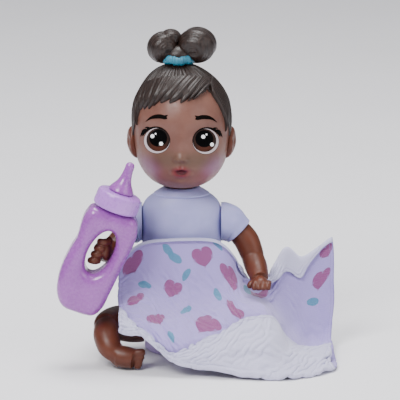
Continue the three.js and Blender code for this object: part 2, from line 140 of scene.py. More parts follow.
def curve_points(points, count):
    """A smooth curve through the points, as an array of count rows."""
    p = np.asarray(points, float)
    t = np.linspace(0, len(p) - 1, count)
    i = np.clip(t.astype(int), 0, len(p) - 2)
    f = (t - i)[:, None]
    before = p[np.maximum(i - 1, 0)]
    after = p[np.minimum(i + 2, len(p) - 1)]
    a, b = p[i], p[i + 1]
    return 0.5 * (2 * a + (b - before) * f + (2 * before - 5 * a + 4 * b - after) * f**2
                  + (3 * a - before - 3 * b + after) * f**3)


def swept(path, widths, heights, sides, up=(0, 0, 1)):
    """Rings of an oval tube along a path; widths run across, heights along `up`."""
    path = np.asarray(path, float)
    along = np.gradient(path, axis=0)
    along /= np.linalg.norm(along, axis=1)[:, None]
    up = np.broadcast_to(np.asarray(up, float), path.shape)
    across = np.cross(along, up)
    across /= np.maximum(np.linalg.norm(across, axis=1)[:, None], 1e-9)
    over = np.cross(across, along)
    angle = round_angles(sides)
    ring = (np.cos(angle)[None, :, None] * across[:, None, :] * np.asarray(widths)[:, None, None]
            + np.sin(angle)[None, :, None] * over[:, None, :] * np.asarray(heights)[:, None, None])
    return path[:, None, :] + ring


def apply_modifiers(piece):
    """Bakes the object's modifiers into its mesh."""
    graph = bpy.context.evaluated_depsgraph_get()
    graph.update()
    mesh = bpy.data.meshes.new_from_object(piece.evaluated_get(graph))
    piece.modifiers.clear()
    piece.data = mesh
    return piece


def joined(name, pieces):
    """One object holding the meshes of several, in the same place."""
    bm = bmesh.new()
    for piece in pieces:
        bm.from_mesh(piece.data)
        bpy.data.objects.remove(piece)
    mesh = mesh_from(bm, name)
    mesh.shade_smooth()
    return placed(name, mesh)


def mesh_from(bm, name):
    """Turns a finished edit mesh into a mesh, and frees it."""
    mesh = bpy.data.meshes.new(name)
    bm.to_mesh(mesh)
    bm.free()
    return mesh


def melted(name, pieces, voxel, smoothing):
    """One soft skin round overlapping pieces, as a moulding has."""
    body = joined(name, pieces)
    remesh = body.modifiers.new("melt", "REMESH")
    remesh.mode = "VOXEL"
    remesh.voxel_size = voxel * MM
    relax = body.modifiers.new("relax", "SMOOTH")
    relax.factor = 0.5
    relax.iterations = smoothing
    apply_modifiers(body)
    body.data.shade_smooth()
    return body


def ellipsoid(centre, radii, sides=24):
    """A ball of three radii."""
    azimuth = round_angles(sides)
    height = np.linspace(0, math.pi, sides // 2 + 2)[1:-1]
    ring = np.stack([
        np.sin(height)[:, None] * np.cos(azimuth)[None, :],
        np.sin(height)[:, None] * np.sin(azimuth)[None, :],
        -np.cos(height)[:, None] * np.ones(sides)[None, :],
    ], axis=-1) * np.asarray(radii, float)
    return tube_mesh("ball", ring + np.asarray(centre, float))


def dress(piece, paint, body, slot, *nodes):
    """Paints a finished piece, ties it to its CAD body and hides the CAD nodes it stands for. slot is not
    used.
    """
    if paint:
        paint.on(piece)
    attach(piece, body)
    if nodes:
        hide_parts(*nodes)


# ------------------------------------------------------------------ shader helpers
class Shader:
    """A material with a Principled surface and short ways to add nodes to it."""

    def __init__(self, name, roughness=0.5, **values):
        self.material = bpy.data.materials.new(name)
        self.material.use_nodes = True
        self.tree = self.material.node_tree
        self.surface = self.tree.nodes["Principled BSDF"]
        self.surface.inputs["Roughness"].default_value = roughness
        for key, value in values.items():
            self.surface.inputs[key.replace("_", " ")].default_value = value
        self.place = self.tree.nodes.new("ShaderNodeTexCoord").outputs["Object"]

    def node(self, kind, settings=None, **inputs):
        """A new node; inputs are given by name, or by number as i0, i1 and so on."""
        node = self.tree.nodes.new(kind)
        for key, value in (settings or {}).items():
            setattr(node, key, value)
        for key, value in inputs.items():
            numbered = key[0] == "i" and key[1:].isdigit()
            socket = node.inputs[int(key[1:])] if numbered else node.inputs[key]
            if isinstance(value, bpy.types.NodeSocket):
                self.tree.links.new(value, socket)
            else:
                socket.default_value = value
        return node

    def vectors(self, operation, a, b):
        return self.node("ShaderNodeVectorMath", {"operation": operation}, i0=a, i1=b).outputs[0]

    def scaled(self, scale):
        """Object coordinates in millimetres, times scale."""
        return self.vectors("MULTIPLY", self.place, tuple(1000 * s for s in scale))

    def noise(self, scale, detail=3.0, source=None):
        """Soft noise, 0 to 1, with features about 1/scale millimetres wide."""
        node = self.node("ShaderNodeTexNoise", Vector=source or self.scaled((1, 1, 1)), Scale=scale,
                         Detail=detail, Roughness=0.55, Distortion=0.0)
        return node.outputs["Fac"]

    def maths(self, operation, a, b=0.0):
        return self.node("ShaderNodeMath", {"operation": operation}, i0=a, i1=b).outputs[0]

    def times(self, a, b):
        return self.maths("MULTIPLY", a, b)

    def plus(self, a, b):
        return self.maths("ADD", a, b)

    def minus(self, a, b):
        return self.maths("SUBTRACT", a, b)

    def ramp(self, value, low, high, out_low=0.0, out_high=1.0):
        """Maps low..high to out_low..out_high, smoothly and held at the ends."""
        return self.node("ShaderNodeMapRange", {"interpolation_type": "SMOOTHSTEP"}, i0=value, i1=low,
                         i2=high, i3=out_low, i4=out_high).outputs[0]

    def mix(self, share, a, b):
        """Colour a where share is 0, colour b where it is 1."""
        node = self.tree.nodes.new("ShaderNodeMix")
        node.data_type = "RGBA"
        for socket, value in ((node.inputs[0], share), (node.inputs[6], a), (node.inputs[7], b)):
            if isinstance(value, bpy.types.NodeSocket):
                self.tree.links.new(value, socket)
            elif isinstance(value, (int, float)):
                socket.default_value = value
            else:
                socket.default_value = (*value, 1.0)
        return node.outputs[2]

    def oval(self, centre, radii, soft=0.3):
        """1 inside an oval of object space in millimetres, falling to 0 across its soft edge."""
        offset = self.vectors("SUBTRACT", self.scaled((1, 1, 1)), tuple(centre))
        share = self.vectors("DIVIDE", offset, tuple(radii))
        length = self.node("ShaderNodeVectorMath", {"operation": "LENGTH"}, i0=share).outputs["Value"]
        return self.ramp(length, 1 - soft, 1 + soft, 1.0, 0.0)

    def colour(self, value):
        self.set("Base Color", value)

    def set(self, name, value):
        self.tree.links.new(value, self.surface.inputs[name])

    def bump(self, height, distance):
        """Bumps of that height in millimetres."""
        node = self.node("ShaderNodeBump", Height=height, Distance=distance * MM, Strength=1.0)
        self.tree.links.new(node.outputs[0], self.surface.inputs["Normal"])

    def on(self, *pieces):
        """Makes this the only material of the pieces."""
        for piece in pieces:
            piece.data.materials.clear()
            piece.data.materials.append(self.material)


def rgb(*screen):
    """A colour given as it looks on a screen, 0 to 255, as the linear values that shaders use."""
    return tuple((c / 255 / 12.92) if c < 10 else ((c / 255 + 0.055) / 1.055) ** 2.4 for c in screen)


# ------------------------------------------------------------------ materials
def skin_base(name, dark, light):
    """Satin brown vinyl: faint mottling in colour and gloss, and a very fine grain."""
    skin = Shader(name, 0.46, Subsurface_Weight=0.1, Subsurface_Scale=0.002, Specular_IOR_Level=0.35)
    skin.surface.inputs["Subsurface Radius"].default_value = (1.0, 0.45, 0.3)
    mottle = skin.noise(0.12, 4)
    colour = skin.mix(skin.ramp(mottle, 0.3, 0.7), dark, light)
    skin.set("Roughness", skin.ramp(skin.noise(0.5, 3), 0.3, 0.7, 0.36, 0.48))
    skin.bump(skin.noise(4.0, 2), 0.012)
    return skin, colour


def skin_material():
    skin, colour = skin_base("doll_skin", rgb(74, 33, 17), rgb(90, 44, 27))
    skin.colour(colour)
    return skin


def face_material():
    """The skin with sprayed lilac blush, warm painted shade beside the nose under the eyes, and painted lips
    round a mouth painted near black as the shade of its opening.
    """
    skin, colour = skin_base("doll_face", rgb(100, 64, 54), rgb(113, 77, 66))
    for side in (-1, 1):
        pink = skin.oval((side * 10.8, -15, 69.8), (5.0, 12, 3.6), 0.75)
        colour = skin.mix(skin.times(pink, 0.3), colour, rgb(138, 62, 70))
        lilac = skin.oval((side * 12.4, -14, 74.2), (4.2, 12, 3.9), 0.7)
        colour = skin.mix(skin.times(lilac, 0.55), colour, rgb(122, 72, 114))
        # Painted shade beside the nose under each eye, where the nose and the eye sockets shade the face.
        under = skin.oval((side * 5.6, -18, 77.9), (6.0, 12, 3.2), 0.8)
        colour = skin.mix(skin.times(under, 0.7), colour, rgb(80, 60, 45))
    rim = skin.oval((0, -20, 73.2), (3.2, 12, 2.3), 0.45)
    colour = skin.mix(skin.times(rim, 0.95), colour, rgb(108, 26, 34))
    # The mouth's inside: dark red, painted near black as the shade inside the open mouth, which the face has
    # only as a shallow dent.
    mouth = skin.oval((0, -20, 73.3), (2.1, 12, 1.2), 0.35)
    colour = skin.mix(mouth, colour, rgb(58, 2, 10))
    tongue = skin.oval((0, -20, 73.1), (0.9, 12, 0.5), 0.6)
    colour = skin.mix(skin.times(tongue, 0.35), colour, rgb(116, 40, 60))
    skin.colour(colour)
    return skin


def hair_material():
    """Moulded dark hair: satin, with fine strand streaks that follow height."""
    hair = Shader("doll_hair", 0.38, Specular_IOR_Level=0.4)
    streaks = hair.noise(1.0, 4, source=hair.scaled((1.6, 1.6, 0.25)))
    hair.colour(hair.mix(hair.ramp(streaks, 0.3, 0.7), rgb(22, 12, 9), rgb(42, 28, 23)))
    hair.set("Roughness", hair.ramp(streaks, 0.3, 0.7, 0.32, 0.46))
    hair.bump(hair.noise(2.0, 3, source=hair.scaled((1.4, 1.4, 0.3))), 0.09)
    return hair


def shirt_material():
    """Cool white moulded shirt with a lilac cast and a satin, faintly grained surface."""
    shirt = Shader("doll_shirt", 0.46, Subsurface_Weight=0.08, Subsurface_Scale=0.002)
    cloud = shirt.noise(0.1, 3)
    shirt.colour(shirt.mix(shirt.ramp(cloud, 0.3, 0.7), rgb(143, 143, 192), rgb(155, 154, 202)))
    shirt.set("Roughness", shirt.ramp(shirt.noise(0.7, 3), 0.3, 0.7, 0.42, 0.54))
    shirt.bump(shirt.noise(3.0, 2), 0.015)
    return shirt


def plastic_material(name, dark, light, roughness, coat=0.0):
    """A moulded plastic: slightly clouded colour, uneven gloss and a fine skin."""
    plastic = Shader(name, roughness, Coat_Weight=coat, Coat_Roughness=0.12)
    plastic.colour(plastic.mix(plastic.ramp(plastic.noise(0.14, 3), 0.3, 0.7), dark, light))
    gloss = plastic.noise(0.8, 3)
    plastic.set("Roughness", plastic.ramp(gloss, 0.3, 0.7, roughness - 0.05, roughness + 0.07))
    plastic.bump(plastic.noise(2.0, 2), 0.012)
    return plastic


def metal_material():
    """Plated metal with fine scratches that run one way."""
    metal = Shader("plated_metal", 0.3, Metallic=1.0)
    scratch = metal.noise(3.0, 4, source=metal.scaled((3, 0.4, 3)))
    metal.colour(metal.mix(scratch, rgb(168, 170, 176), rgb(206, 207, 210)))
    metal.set("Roughness", metal.ramp(scratch, 0.3, 0.7, 0.24, 0.42))
    metal.bump(scratch, 0.01)
    return metal


# ------------------------------------------------------------------ head
def head_surface(azimuth, height, grow=0.0):
    """Points of the head's plain form. azimuth runs round from +X through +Y, height from -1 to 1."""
    power = np.where(height > 0, 2.0, 2.55)
    reach = (1 - np.clip(np.abs(height), 0, 1) ** power) ** (1 / power)
    front = np.sin(azimuth) < 0
    depth = np.where(front, HEAD["front"], HEAD["back"]) + grow
    x = reach * np.cos(azimuth) * (HEAD["x"] + grow)
    y = HEAD["y"] + reach * np.sin(azimuth) * depth
    z = HEAD["z"] + height * (np.where(height > 0, HEAD["up"], HEAD["down"]) + grow)
    return grid_points(x, y, z)


def face_relief(x, z):
    """How far the features stand out of the plain form, in millimetres, seen from the front."""
    ax = np.abs(x)
    relief = 1.0 * bump(ax, z, 10.5, 75, 5.5, 6) + 0.8 * bump(x, z, 0, 97, 11, 7)
    relief = relief - 0.9 * bump(ax, z, 9.2, 85.6, 5.4, 4.6) + 0.5 * bump(ax, z, 9, 92.5, 6, 2.4)
    relief = relief + 1.7 * bump(x, z, 0, 78.9, 2.1, 1.8) + 0.7 * bump(ax, z, 1.8, 78.2, 1.2, 1.1)
    relief = relief + 0.7 * bump(x, z, 0, 84.5, 2.6, 4)
    relief = relief + 1.5 * bump(x, z, 0, 73.4, 5, 3.8) + 1.1 * bump(x, z, 0, 67.8, 4.2, 2.4)
    z = z + 0.8
    relief = relief + 0.55 * bump(ax, z, 1.1, 75.35, 1.25, 0.8) + 0.65 * bump(x, z, 0, 72.75, 1.9, 0.9)
    relief = relief - 1.0 * bump(x, z, 0, 74.05, 1.7, 0.75) - 0.35 * bump(x, z, 0, 76.9, 0.6, 0.9)
    relief = relief - 0.5 * bump(ax, z, 3.6, 74, 0.8, 1.0) - 0.4 * bump(x, z, 0, 70.9, 2.4, 0.8)
    return relief


def build_head():
    azimuth, height = ball_grid(260, 300)
    points = head_surface(azimuth, height)
    facing = smooth_step(0.15, 0.75, -(points[..., 1] - HEAD["y"]) / HEAD["front"])
    points[..., 1] -= facing * face_relief(points[..., 0], points[..., 2])
    shell = tube_mesh("head_skin", points)
    ears = [build_ear(side) for side in (-1, 1)]
    return shell, ears


def build_ear(side):
    """A small rounded ear: full at the top, drawn in at the lobe, with a hollow behind a rolled rim."""
    azimuth, height = ball_grid(64, 72)
    reach = np.sqrt(1 - height**2)
    low = np.clip(-height, 0, 1)
    out = reach * np.cos(azimuth)
    back = reach * np.sin(azimuth)
    y = -1.4 + back * 3.6 * (1 - 0.25 * low) + 0.5 * height
    z = 81.3 + height * 6.1
    dish = smooth_step(0.1, 0.7, out) * np.exp(-((back + 0.25) / 0.5) ** 2 - ((height - 0.05) / 0.55) ** 2)
    notch = smooth_step(0.0, 0.6, out) * np.exp(-((back + 0.75) / 0.2) ** 2 - ((height - 0.1) / 0.3) ** 2)
    x = 18.6 - 1.9 * low**1.5 + out * 2.6 - 1.5 * dish - 0.7 * notch
    ring = grid_points(side * x, y, z)
    if side < 0:
        ring = ring[:, ::-1]
    return tube_mesh("ear_left" if side > 0 else "ear_right", ring)


def head_tree(shell):
    """For placing painted details on the face."""
    points = [v.co for v in shell.data.vertices]
    return BVHTree.FromPolygons(points, [p.vertices for p in shell.data.polygons])


def on_face(tree, x, v, lift):
    """The point of the face seen at (x, v) on a plane square to the view, raised by lift; millimetres."""
    along = Vector((0, math.cos(VIEW_TILT), -math.sin(VIEW_TILT)))
    up = Vector((0, math.sin(VIEW_TILT), math.cos(VIEW_TILT)))
    start = (Vector((x, 0, 0)) + up * v - along * 100) * MM
    hit, normal, _, _ = tree.ray_cast(start, along)
    if hit is None:
        hit, normal, _, _ = tree.find_nearest(start + along * 100 * MM)
    return np.array(hit + normal * lift * MM) / MM


def painted_oval(name, tree, centre, radii, lift, dome=0.0):
    """An oval printed on the face, or slightly domed over it."""
    rings, sides = 14, 64
    vertices = [on_face(tree, *centre, lift + dome)]
    for r in range(1, rings + 1):
        share = r / rings
        for c in range(sides):
            angle = 2 * math.pi * c / sides
            vertices.append(on_face(tree, centre[0] + radii[0] * share * math.cos(angle),
                                    centre[1] + radii[1] * share * math.sin(angle),
                                    lift + dome * math.sqrt(1 - share**4)))
    faces = [(0, 1 + c, 1 + (c + 1) % sides) for c in range(sides)]
    faces += wrap_faces(rings, sides, start=1)
    oval = make_mesh(name, vertices, faces)
    flip_to_front(oval)
    return oval


def painted_stroke(name, tree, path, widths, lift):
    """A brush stroke along a path on the face; widths are half widths at the path's points."""
    count, across = 26, 4
    line = curve_points([(*p, w) for p, w in zip(path, widths)], count)
    along = np.gradient(line[:, :2], axis=0)
    along /= np.linalg.norm(along, axis=1)[:, None]
    side = np.stack([-along[:, 1], along[:, 0]], axis=1)
    vertices = []
    for i in range(count):
        for j in range(across + 1):
            offset = (2 * j / across - 1) * line[i, 2]
            vertices.append(on_face(tree, *(line[i, :2] + side[i] * offset), lift))
    stroke = make_mesh(name, vertices, sheet_faces(count, across + 1))
    flip_to_front(stroke)
    return stroke


def flip_to_front(piece):
    """Turns the faces of an open patch towards -Y."""
    bm = bmesh.new()
    bm.from_mesh(piece.data)
    if sum(f.normal.y * f.calc_area() for f in bm.faces) > 0:
        bmesh.ops.reverse_faces(bm, faces=bm.faces)
    bm.to_mesh(piece.data)
    bm.free()
    piece.data.shade_smooth()


def build_eyes(tree):
    """Printed eyes: white rim, brown iris, large pupil, white lights, a dark lid line, lashes and brows."""
    paints = eye_materials()
    for side, label in ((-1, "right"), (1, "left")):
        drop = 0.25 if side > 0 else 0.0
        middle = side * 9.1
        ovals = (
            ("eye_edge", (middle, 79.35 - drop), (5.02, 4.88), 0.03, 0.02, "edge"),
            ("eye_white", (middle, 79.35 - drop), (4.88, 4.72), 0.05, 0.12, "white"),
            ("eye_iris", (side * 8.7, 79.6 - drop), (4.5, 4.38), 0.1, 0.16, "iris"),
            ("eye_pupil", (side * 8.55, 80.2 - drop), (3.6, 3.45), 0.15, 0.17, "pupil"),
            ("eye_light_high", (middle - 1.3 + 0.25 * side, 81.1 - drop), (0.74, 0.74), 0.33, 0.02, "light"),
            ("eye_light_low", (middle + 1.95 + 0.25 * side, 78.2 - drop), (0.72, 0.72), 0.33, 0.02, "light"),
            ("eye_light_tiny", (middle - 0.1 + 0.25 * side, 82.0 - drop), (0.32, 0.36), 0.33, 0.02, "light"),
        )
        for name, centre, radii, lift, dome, paint in ovals:
            oval = painted_oval(f"{name}_{label}", tree, centre, radii, lift, dome)
            dress(oval, paints[paint], "head", "skin_brown")
        strokes = (
            ("lid_line", [(14.5, 81.2), (13.6, 82.7), (12.1, 83.8), (9.8, 84.4), (7.5, 84.0), (5.8, 82.9),
                          (4.8, 81.8)], [0.12, 0.5, 0.42, 0.26, 0.24, 0.2, 0.06], 0.12, "lash"),
            ("lash_a", [(13.4, 83.4), (14.6, 82.3), (15.3, 80.9)], [0.5, 0.42, 0.05], 0.13, "lash"),
            ("lash_b", [(13.2, 83.5), (14.1, 83.4), (14.9, 82.9)], [0.45, 0.3, 0.04], 0.13, "lash"),
            ("lash_c", [(12.0, 84.1), (12.9, 84.35), (13.7, 84.2)], [0.4, 0.26, 0.04], 0.13, "lash"),
            ("brow", [(13.3, 86.5), (11.6, 87.7), (9.8, 88.25), (7.7, 88.3), (6.1, 87.85), (5.2, 87.5)],
             [0.08, 0.42, 0.72, 0.78, 0.66, 0.15], 0.12, "brow"),
            ("brow_tip", [(6.8, 88.2), (5.9, 88.35), (5.0, 88.85)], [0.45, 0.42, 0.08], 0.13, "brow"),
        )
        for name, path, widths, lift, paint in strokes:
            line = [(side * x, v - drop) for x, v in path]
            stroke = painted_stroke(f"{name}_{label}", tree, line, widths, lift)
            dress(stroke, paints[paint], "head", "skin_brown")


def eye_materials():
    """Paints of the eyes, each with a little variation."""
    paints = {}
    for name, dark, light, roughness in (
        ("edge", (30, 15, 10), (44, 24, 17), 0.45),
        ("white", (172, 158, 160), (192, 180, 182), 0.5),
        ("pupil", (0, 0, 0), (3, 3, 4), 0.5),
        ("light", (250, 250, 252), (255, 255, 255), 0.4),
        ("lash", (3, 2, 2), (9, 6, 5), 0.6),
        ("brow", (5, 3, 2), (14, 9, 7), 0.6),
    ):
        paint = Shader(f"paint_{name}", roughness, Specular_IOR_Level=0.03)
        paint.colour(paint.mix(paint.noise(1.2, 3), rgb(*dark), rgb(*light)))
        paint.bump(paint.noise(3.0, 2), 0.008)
        paints[name] = paint
    iris = Shader("paint_iris", 0.5, Specular_IOR_Level=0.15)
    colour = rgb(14, 6, 4)
    for side in (-1, 1):
        ring = iris.oval((side * 8.7, -20, 85.4), (4.05, 40, 4.05), 0.12)
        fibres = iris.noise(2.2, 4)
        brown = iris.mix(fibres, rgb(28, 12, 7), rgb(48, 23, 13))
        colour = iris.mix(ring, colour, brown)
        low = iris.oval((side * 8.9, -20, 82.3), (3.2, 40, 1.6), 0.6)
        colour = iris.mix(iris.times(low, 0.6), colour, rgb(74, 33, 18))
    iris.colour(colour)
    iris.bump(iris.noise(3.0, 2), 0.006)
    paints["iris"] = iris
    return paints


# ------------------------------------------------------------------ hair
def hair_edge(azimuth):
    """Height share where the hair ends on the head, all the way round."""
    side = np.abs(np.cos(azimuth))
    front = np.clip(-np.sin(azimuth), 0, 1)
    back = np.clip(np.sin(azimuth), 0, 1)
    brow = 0.68
    temple = smooth_step(0.12, 0.55, front)
    nape = -0.62 + 0.1 * side
    behind_ear = smooth_step(0.14, 0.34, back)
    sideburn = -0.16
    edge = sideburn + (brow - sideburn) * temple
    edge = edge + (0.06 - edge) * (1 - smooth_step(0.05, 0.2, front))
    return edge + (nape - edge) * behind_ear


def build_hair_crown():
    """The moulded hair combed up from its edge to the tie, with combed grooves and a thick rim."""
    columns, rows = 720, 90
    azimuth = round_angles(columns)[None, :]
    edge = hair_edge(azimuth)
    jag = 0.012 * np.sin(47 * azimuth) + 0.016 * np.sin(23 * azimuth + 1.0)
    low = np.arcsin(np.clip(edge + jag, -0.95, 0.95))
    share = np.linspace(0, 1, rows)[:, None]
    height = np.sin(low + (math.pi / 2 * 0.93 - low) * share)
    points = head_surface(azimuth, height, HAIR_LIFT * (0.4 + 0.6 * smooth_step(0.0, 0.28, share)))
    pull = smooth_step(0.55, 1.0, height)[..., None]
    points[..., :2] += pull * np.array(TIE[:2]) * 0.8
    grooves = (0.5 * np.sin(61 * azimuth + 1.5 * np.sin(5 * azimuth)) + 0.3 * np.sin(97 * azimuth)
               + 0.35 * np.sin(37 * azimuth + 2 * height))
    depth = 0.26 * smooth_step(0.0, 0.12, share) * (0.35 + 0.65 * (1 - smooth_step(0.8, 1.0, share)))
    middle = np.array([0, HEAD["y"], HEAD["z"]])
    outward = (points - middle) / np.linalg.norm(points - middle, axis=-1)[..., None]
    points += outward * (grooves * depth)[..., None]
    rim = head_surface(azimuth, np.sin(low - 0.015), 0.1)
    middle_rim = head_surface(azimuth, np.sin(low - 0.012), HAIR_LIFT * 0.3)
    rings = np.concatenate([rim, middle_rim, points], axis=0)
    return tube_mesh("hair_crown", rings)


def rolled(share):
    """A quarter-round edge: 0 at the rim, 1 once share has reached 1."""
    return math.sqrt(1 - (1 - min(1.0, share)) ** 2)


def kept_on_head(x, v):
    """Eases places near the head's outline inwards, so that strands don't pile up on its edge."""
    outline = HEAD["x"] * np.sqrt(1 - ((v / math.cos(VIEW_TILT) - HEAD["z"]) / HEAD["up"]) ** 2)
    near = np.abs(x) / outline
    kept = np.where(near < 0.8, near, 0.8 + 0.17 * (1 - np.exp((0.8 - near) / 0.17)))
    return np.sign(x) * kept * outline


def combed_patch(name, tree, guides, locks, lift, rounding):
    """Locks of moulded hair on the head between guide strands of (x, v) points, root first."""
    across, along = locks * 16, 60
    guides = np.asarray(guides, float)
    spread = curve_points(guides.reshape(len(guides), -1), across).reshape(across, -1, 2)
    spread[..., 0] = kept_on_head(spread[..., 0], spread[..., 1])
    vertices = []
    for i in range(across):
        share = i / (across - 1) * locks
        lock = min(int(share), locks - 1)
        inside = 2 * (share - lock) - 1
        reach = 1 - 0.16 * abs(inside) ** 1.4 - 0.06 * math.sin(7.3 * lock) - 0.04
        strand = curve_points(spread[i], 80)
        edge = rolled(min(i, across - 1 - i) / 7)
        steps = np.linspace(0, 79 * reach, along)
        x = np.interp(steps, np.arange(80), strand[:, 0])
        v = np.interp(steps, np.arange(80), strand[:, 1])
        crest = rounding * math.sqrt(max(0.0, 1 - inside**2))
        for k in range(along):
            s = k / (along - 1)
            height = lift * (1 - 0.35 * s) + crest * min(1, 0.35 + s)
            height += 0.07 * math.sin(9.4 * inside + 1.7 * lock) + 0.05 * math.sin(21 * inside)
            height *= math.sqrt(max(0.0, 1 - s**6)) * edge * rolled(s / 0.05)
            vertices.append(on_face(tree, x[k], v[k], height - 0.15))
    patch = make_mesh(name, vertices, sheet_faces(across, along))
    flip_to_front(patch)
    return patch


def build_fringe(tree):
    """The side-swept fringe and, past its parting, the lock that falls over the other temple."""
    roots = [(10.0, 99.4), (9.2, 100.9), (7.0, 102.0), (3.6, 102.4), (-0.6, 102.4), (-4.8, 102.2),
             (-8.6, 101.6), (-12.0, 100.5), (-14.8, 99.0), (-16.7, 97.2)]
    tips = [(5.4, 94.8), (2.4, 93.4), (-0.8, 92.3), (-5.2, 92.8), (-8.6, 93.2), (-11.4, 91.2), (-14.0, 90.2),
            (-15.9, 89.8), (-17.3, 87.6), (-17.9, 84.2)]
    guides = []
    for (rx, rv), (tx, tv) in zip(roots, tips):
        upper = (rx + 0.28 * (tx - rx) + 0.2, rv + 0.3 * (tv - rv) + 0.5)
        lower = (rx + 0.62 * (tx - rx) + 0.3, rv + 0.66 * (tv - rv) + 0.5)
        guides.append([(rx, rv), upper, lower, (tx, tv)])
    swept_side = combed_patch("fringe_swept", tree, guides, 11, 2.2, 0.5)
    temple = [
        [(9.9, 100.6), (11.2, 96.8), (14.2, 92.0), (17.0, 86.6), (17.75, 82.2)],
        [(10.6, 102.6), (13.4, 98.2), (16.0, 92.8), (17.6, 87.2), (17.85, 82.8)],
        [(13.0, 104.0), (16.4, 98.8), (17.9, 93.4), (17.9, 88.0), (17.9, 83.6)],
    ]
    temple_side = combed_patch("fringe_temple", tree, temple, 4, 1.7, 0.45)
    return joined("fringe", [swept_side, temple_side])


def build_bun(name, centre, radii, swirl, turns, side):
    """A bun: a ball of combed hair whose grooves coil round a hollow on its front."""
    azimuth, height = ball_grid(110, 180)
    reach = np.sqrt(1 - height**2)
    unit = grid_points(reach * np.cos(azimuth), reach * np.sin(azimuth), height)
    axis = np.asarray(swirl, float)
    axis /= np.linalg.norm(axis)
    away = np.arccos(np.clip(unit @ axis, -1, 1))
    right = np.cross(axis, (0, 0, 1.0))
    right /= np.linalg.norm(right)
    up = np.cross(right, axis)
    round_axis = np.arctan2(unit @ up, unit @ right)
    coil = np.sin(turns * away + side * round_axis)
    fine = np.sin(31 * away + side * round_axis + 0.8 * np.sin(3 * round_axis))
    relief = 1 + 0.024 * coil + 0.005 * fine - 0.09 * np.exp(-((away / 0.38) ** 2))
    points = unit * relief[..., None] * np.asarray(radii) + np.asarray(centre)
    return tube_mesh(name, points)


def build_tie():
    """A ruffled band round the base of the buns."""
    rows, columns = 40, 200
    angle = round_angles(columns)[None, :]
    turn = np.linspace(0, 2 * math.pi, rows)[:, None]
    ruffle = 0.5 * np.sin(13 * angle + 0.8 * np.sin(2 * angle)) + 0.3 * np.sin(23 * angle + 1)
    reach = 4.9 + (1.25 + 0.32 * ruffle) * np.cos(turn)
    z = TIE[2] + (1.6 + 0.25 * ruffle) * np.sin(turn) + 0.25 * np.sin(5 * angle)
    x = TIE[0] + reach * np.cos(angle)
    y = TIE[1] + reach * np.sin(angle)
    rings = grid_points(x, y, z)
    faces = wrap_faces(rows, columns)
    return make_mesh("hair_band", rings.reshape(-1, 3), faces)


def build_hair(tree):
    """The crown, the fringe, and the two buns, of which the small one has a loop of hair on top."""
    crown = build_hair_crown()
    fringe = build_fringe(tree)
    bun_left = build_bun("bun_big", (5.9, 0.4, 118.3), (7.3, 6.9, 6.7), (-0.25, -1, -0.35), 9, 1)
    bun_right = build_bun("bun_small", (-7.0, 0.8, 117.2), (5.9, 5.9, 6.0), (0.35, -1, -0.3), 8, -1)
    loop = build_bun("bun_loop", (-4.0, 1.8, 120.9), (3.9, 4.2, 3.2), (0.2, -1, -0.2), 7, 1)
    core = ellipsoid((-1.1, -0.4, 114.6), (5.4, 5.0, 4.0))
    return crown, fringe, bun_left, joined("bun_small", [bun_right, loop, core])


# ------------------------------------------------------------------ body
# Half width and half depth of the body at each height, given as (z, x, y)
TORSO = [(18.3, 15.8, 12.6), (24, 15.4, 12.2), (32, 15.3, 11.8), (42, 15.4, 11.2), (50, 15.4, 10.4),
         (55, 15.2, 9.8), (58.6, 13.6, 9.0), (61.3, 10.6, 8.0), (63.2, 7.6, 7.0), (63.9, 6.4, 6.2),
         (63.6, 5.4, 5.3), (62.0, 4.9, 4.8)]
SEAT = [(0, 11.4, 9.4), (0.5, 12.8, 10.6), (2.2, 14.6, 12.0), (5, 15.8, 13.0), (9, 16.4, 13.6),
        (14, 16.2, 13.2), (18, 15.9, 12.7)]
TORSO_SIDE = 15.0                  # flat sides where the sleeves and the legs turn
HIP_SIDE = 14.0
WALL = 1.6
NECKBAND = 61.0
WAISTBAND = 20.6
DOOR = {"y": 12, "z": 31.55, "width": 15.5, "height": 24.4}
GRILLE = {"z": 49.5, "radius": 2.6, "hole": 0.7}
SCREWS = ((-10, 22.5, 10.5), (10, 22.5, 10.5), (-9.6, 43.6, 9.7), (9.6, 43.6, 9.7))


def casing(name, levels, limit, start, end, rows, columns):
    """A sheet round the body between two azimuths, with the flat sides cut at x = limit."""
    line = curve_points(levels, rows)
    z, half_width, half_depth = (line[:, i][:, None] for i in range(3))
    groove = 0.28 * np.exp(-(((z - NECKBAND) / 0.22) ** 2)) + 0.22 * np.exp(-(((z - WAISTBAND) / 0.25) ** 2))
    groove = groove - 0.16 * smooth_step(NECKBAND, 61.6, z) * (1 - smooth_step(63.0, 63.7, z))
    angle = np.linspace(start, end, columns)[None, :]
    power = 2.5 - 0.5 * smooth_step(56, 62, z)
    reach = 1 / (np.abs(np.cos(angle)) ** power + np.abs(np.sin(angle)) ** power) ** (1 / power)
    x = np.clip(reach * np.cos(angle) * (half_width - groove), -limit, limit)
    y = reach * np.sin(angle) * (half_depth - groove)
    points = grid_points(x, y, z)
    return make_mesh(name, points.reshape(-1, 3), sheet_faces(rows, columns))


def thickened(piece, thickness):
    """Gives a sheet a wall, inwards."""
    wall = piece.modifiers.new("wall", "SOLIDIFY")
    wall.thickness = thickness * MM
    wall.offset = -1.0
    wall.use_even_offset = False
    return apply_modifiers(piece)


def carved(piece, cutter, operation="DIFFERENCE"):
    """Cuts (or keeps) what lies in the cutter, and removes the cutter."""
    cut = piece.modifiers.new("cut", "BOOLEAN")
    cut.operation = operation
    cut.solver = "EXACT"
    cut.object = cutter
    apply_modifiers(piece)
    bpy.data.objects.remove(cutter)
    piece.data.shade_smooth()
    piece.data.set_sharp_from_angle(angle=math.radians(38))
    return piece


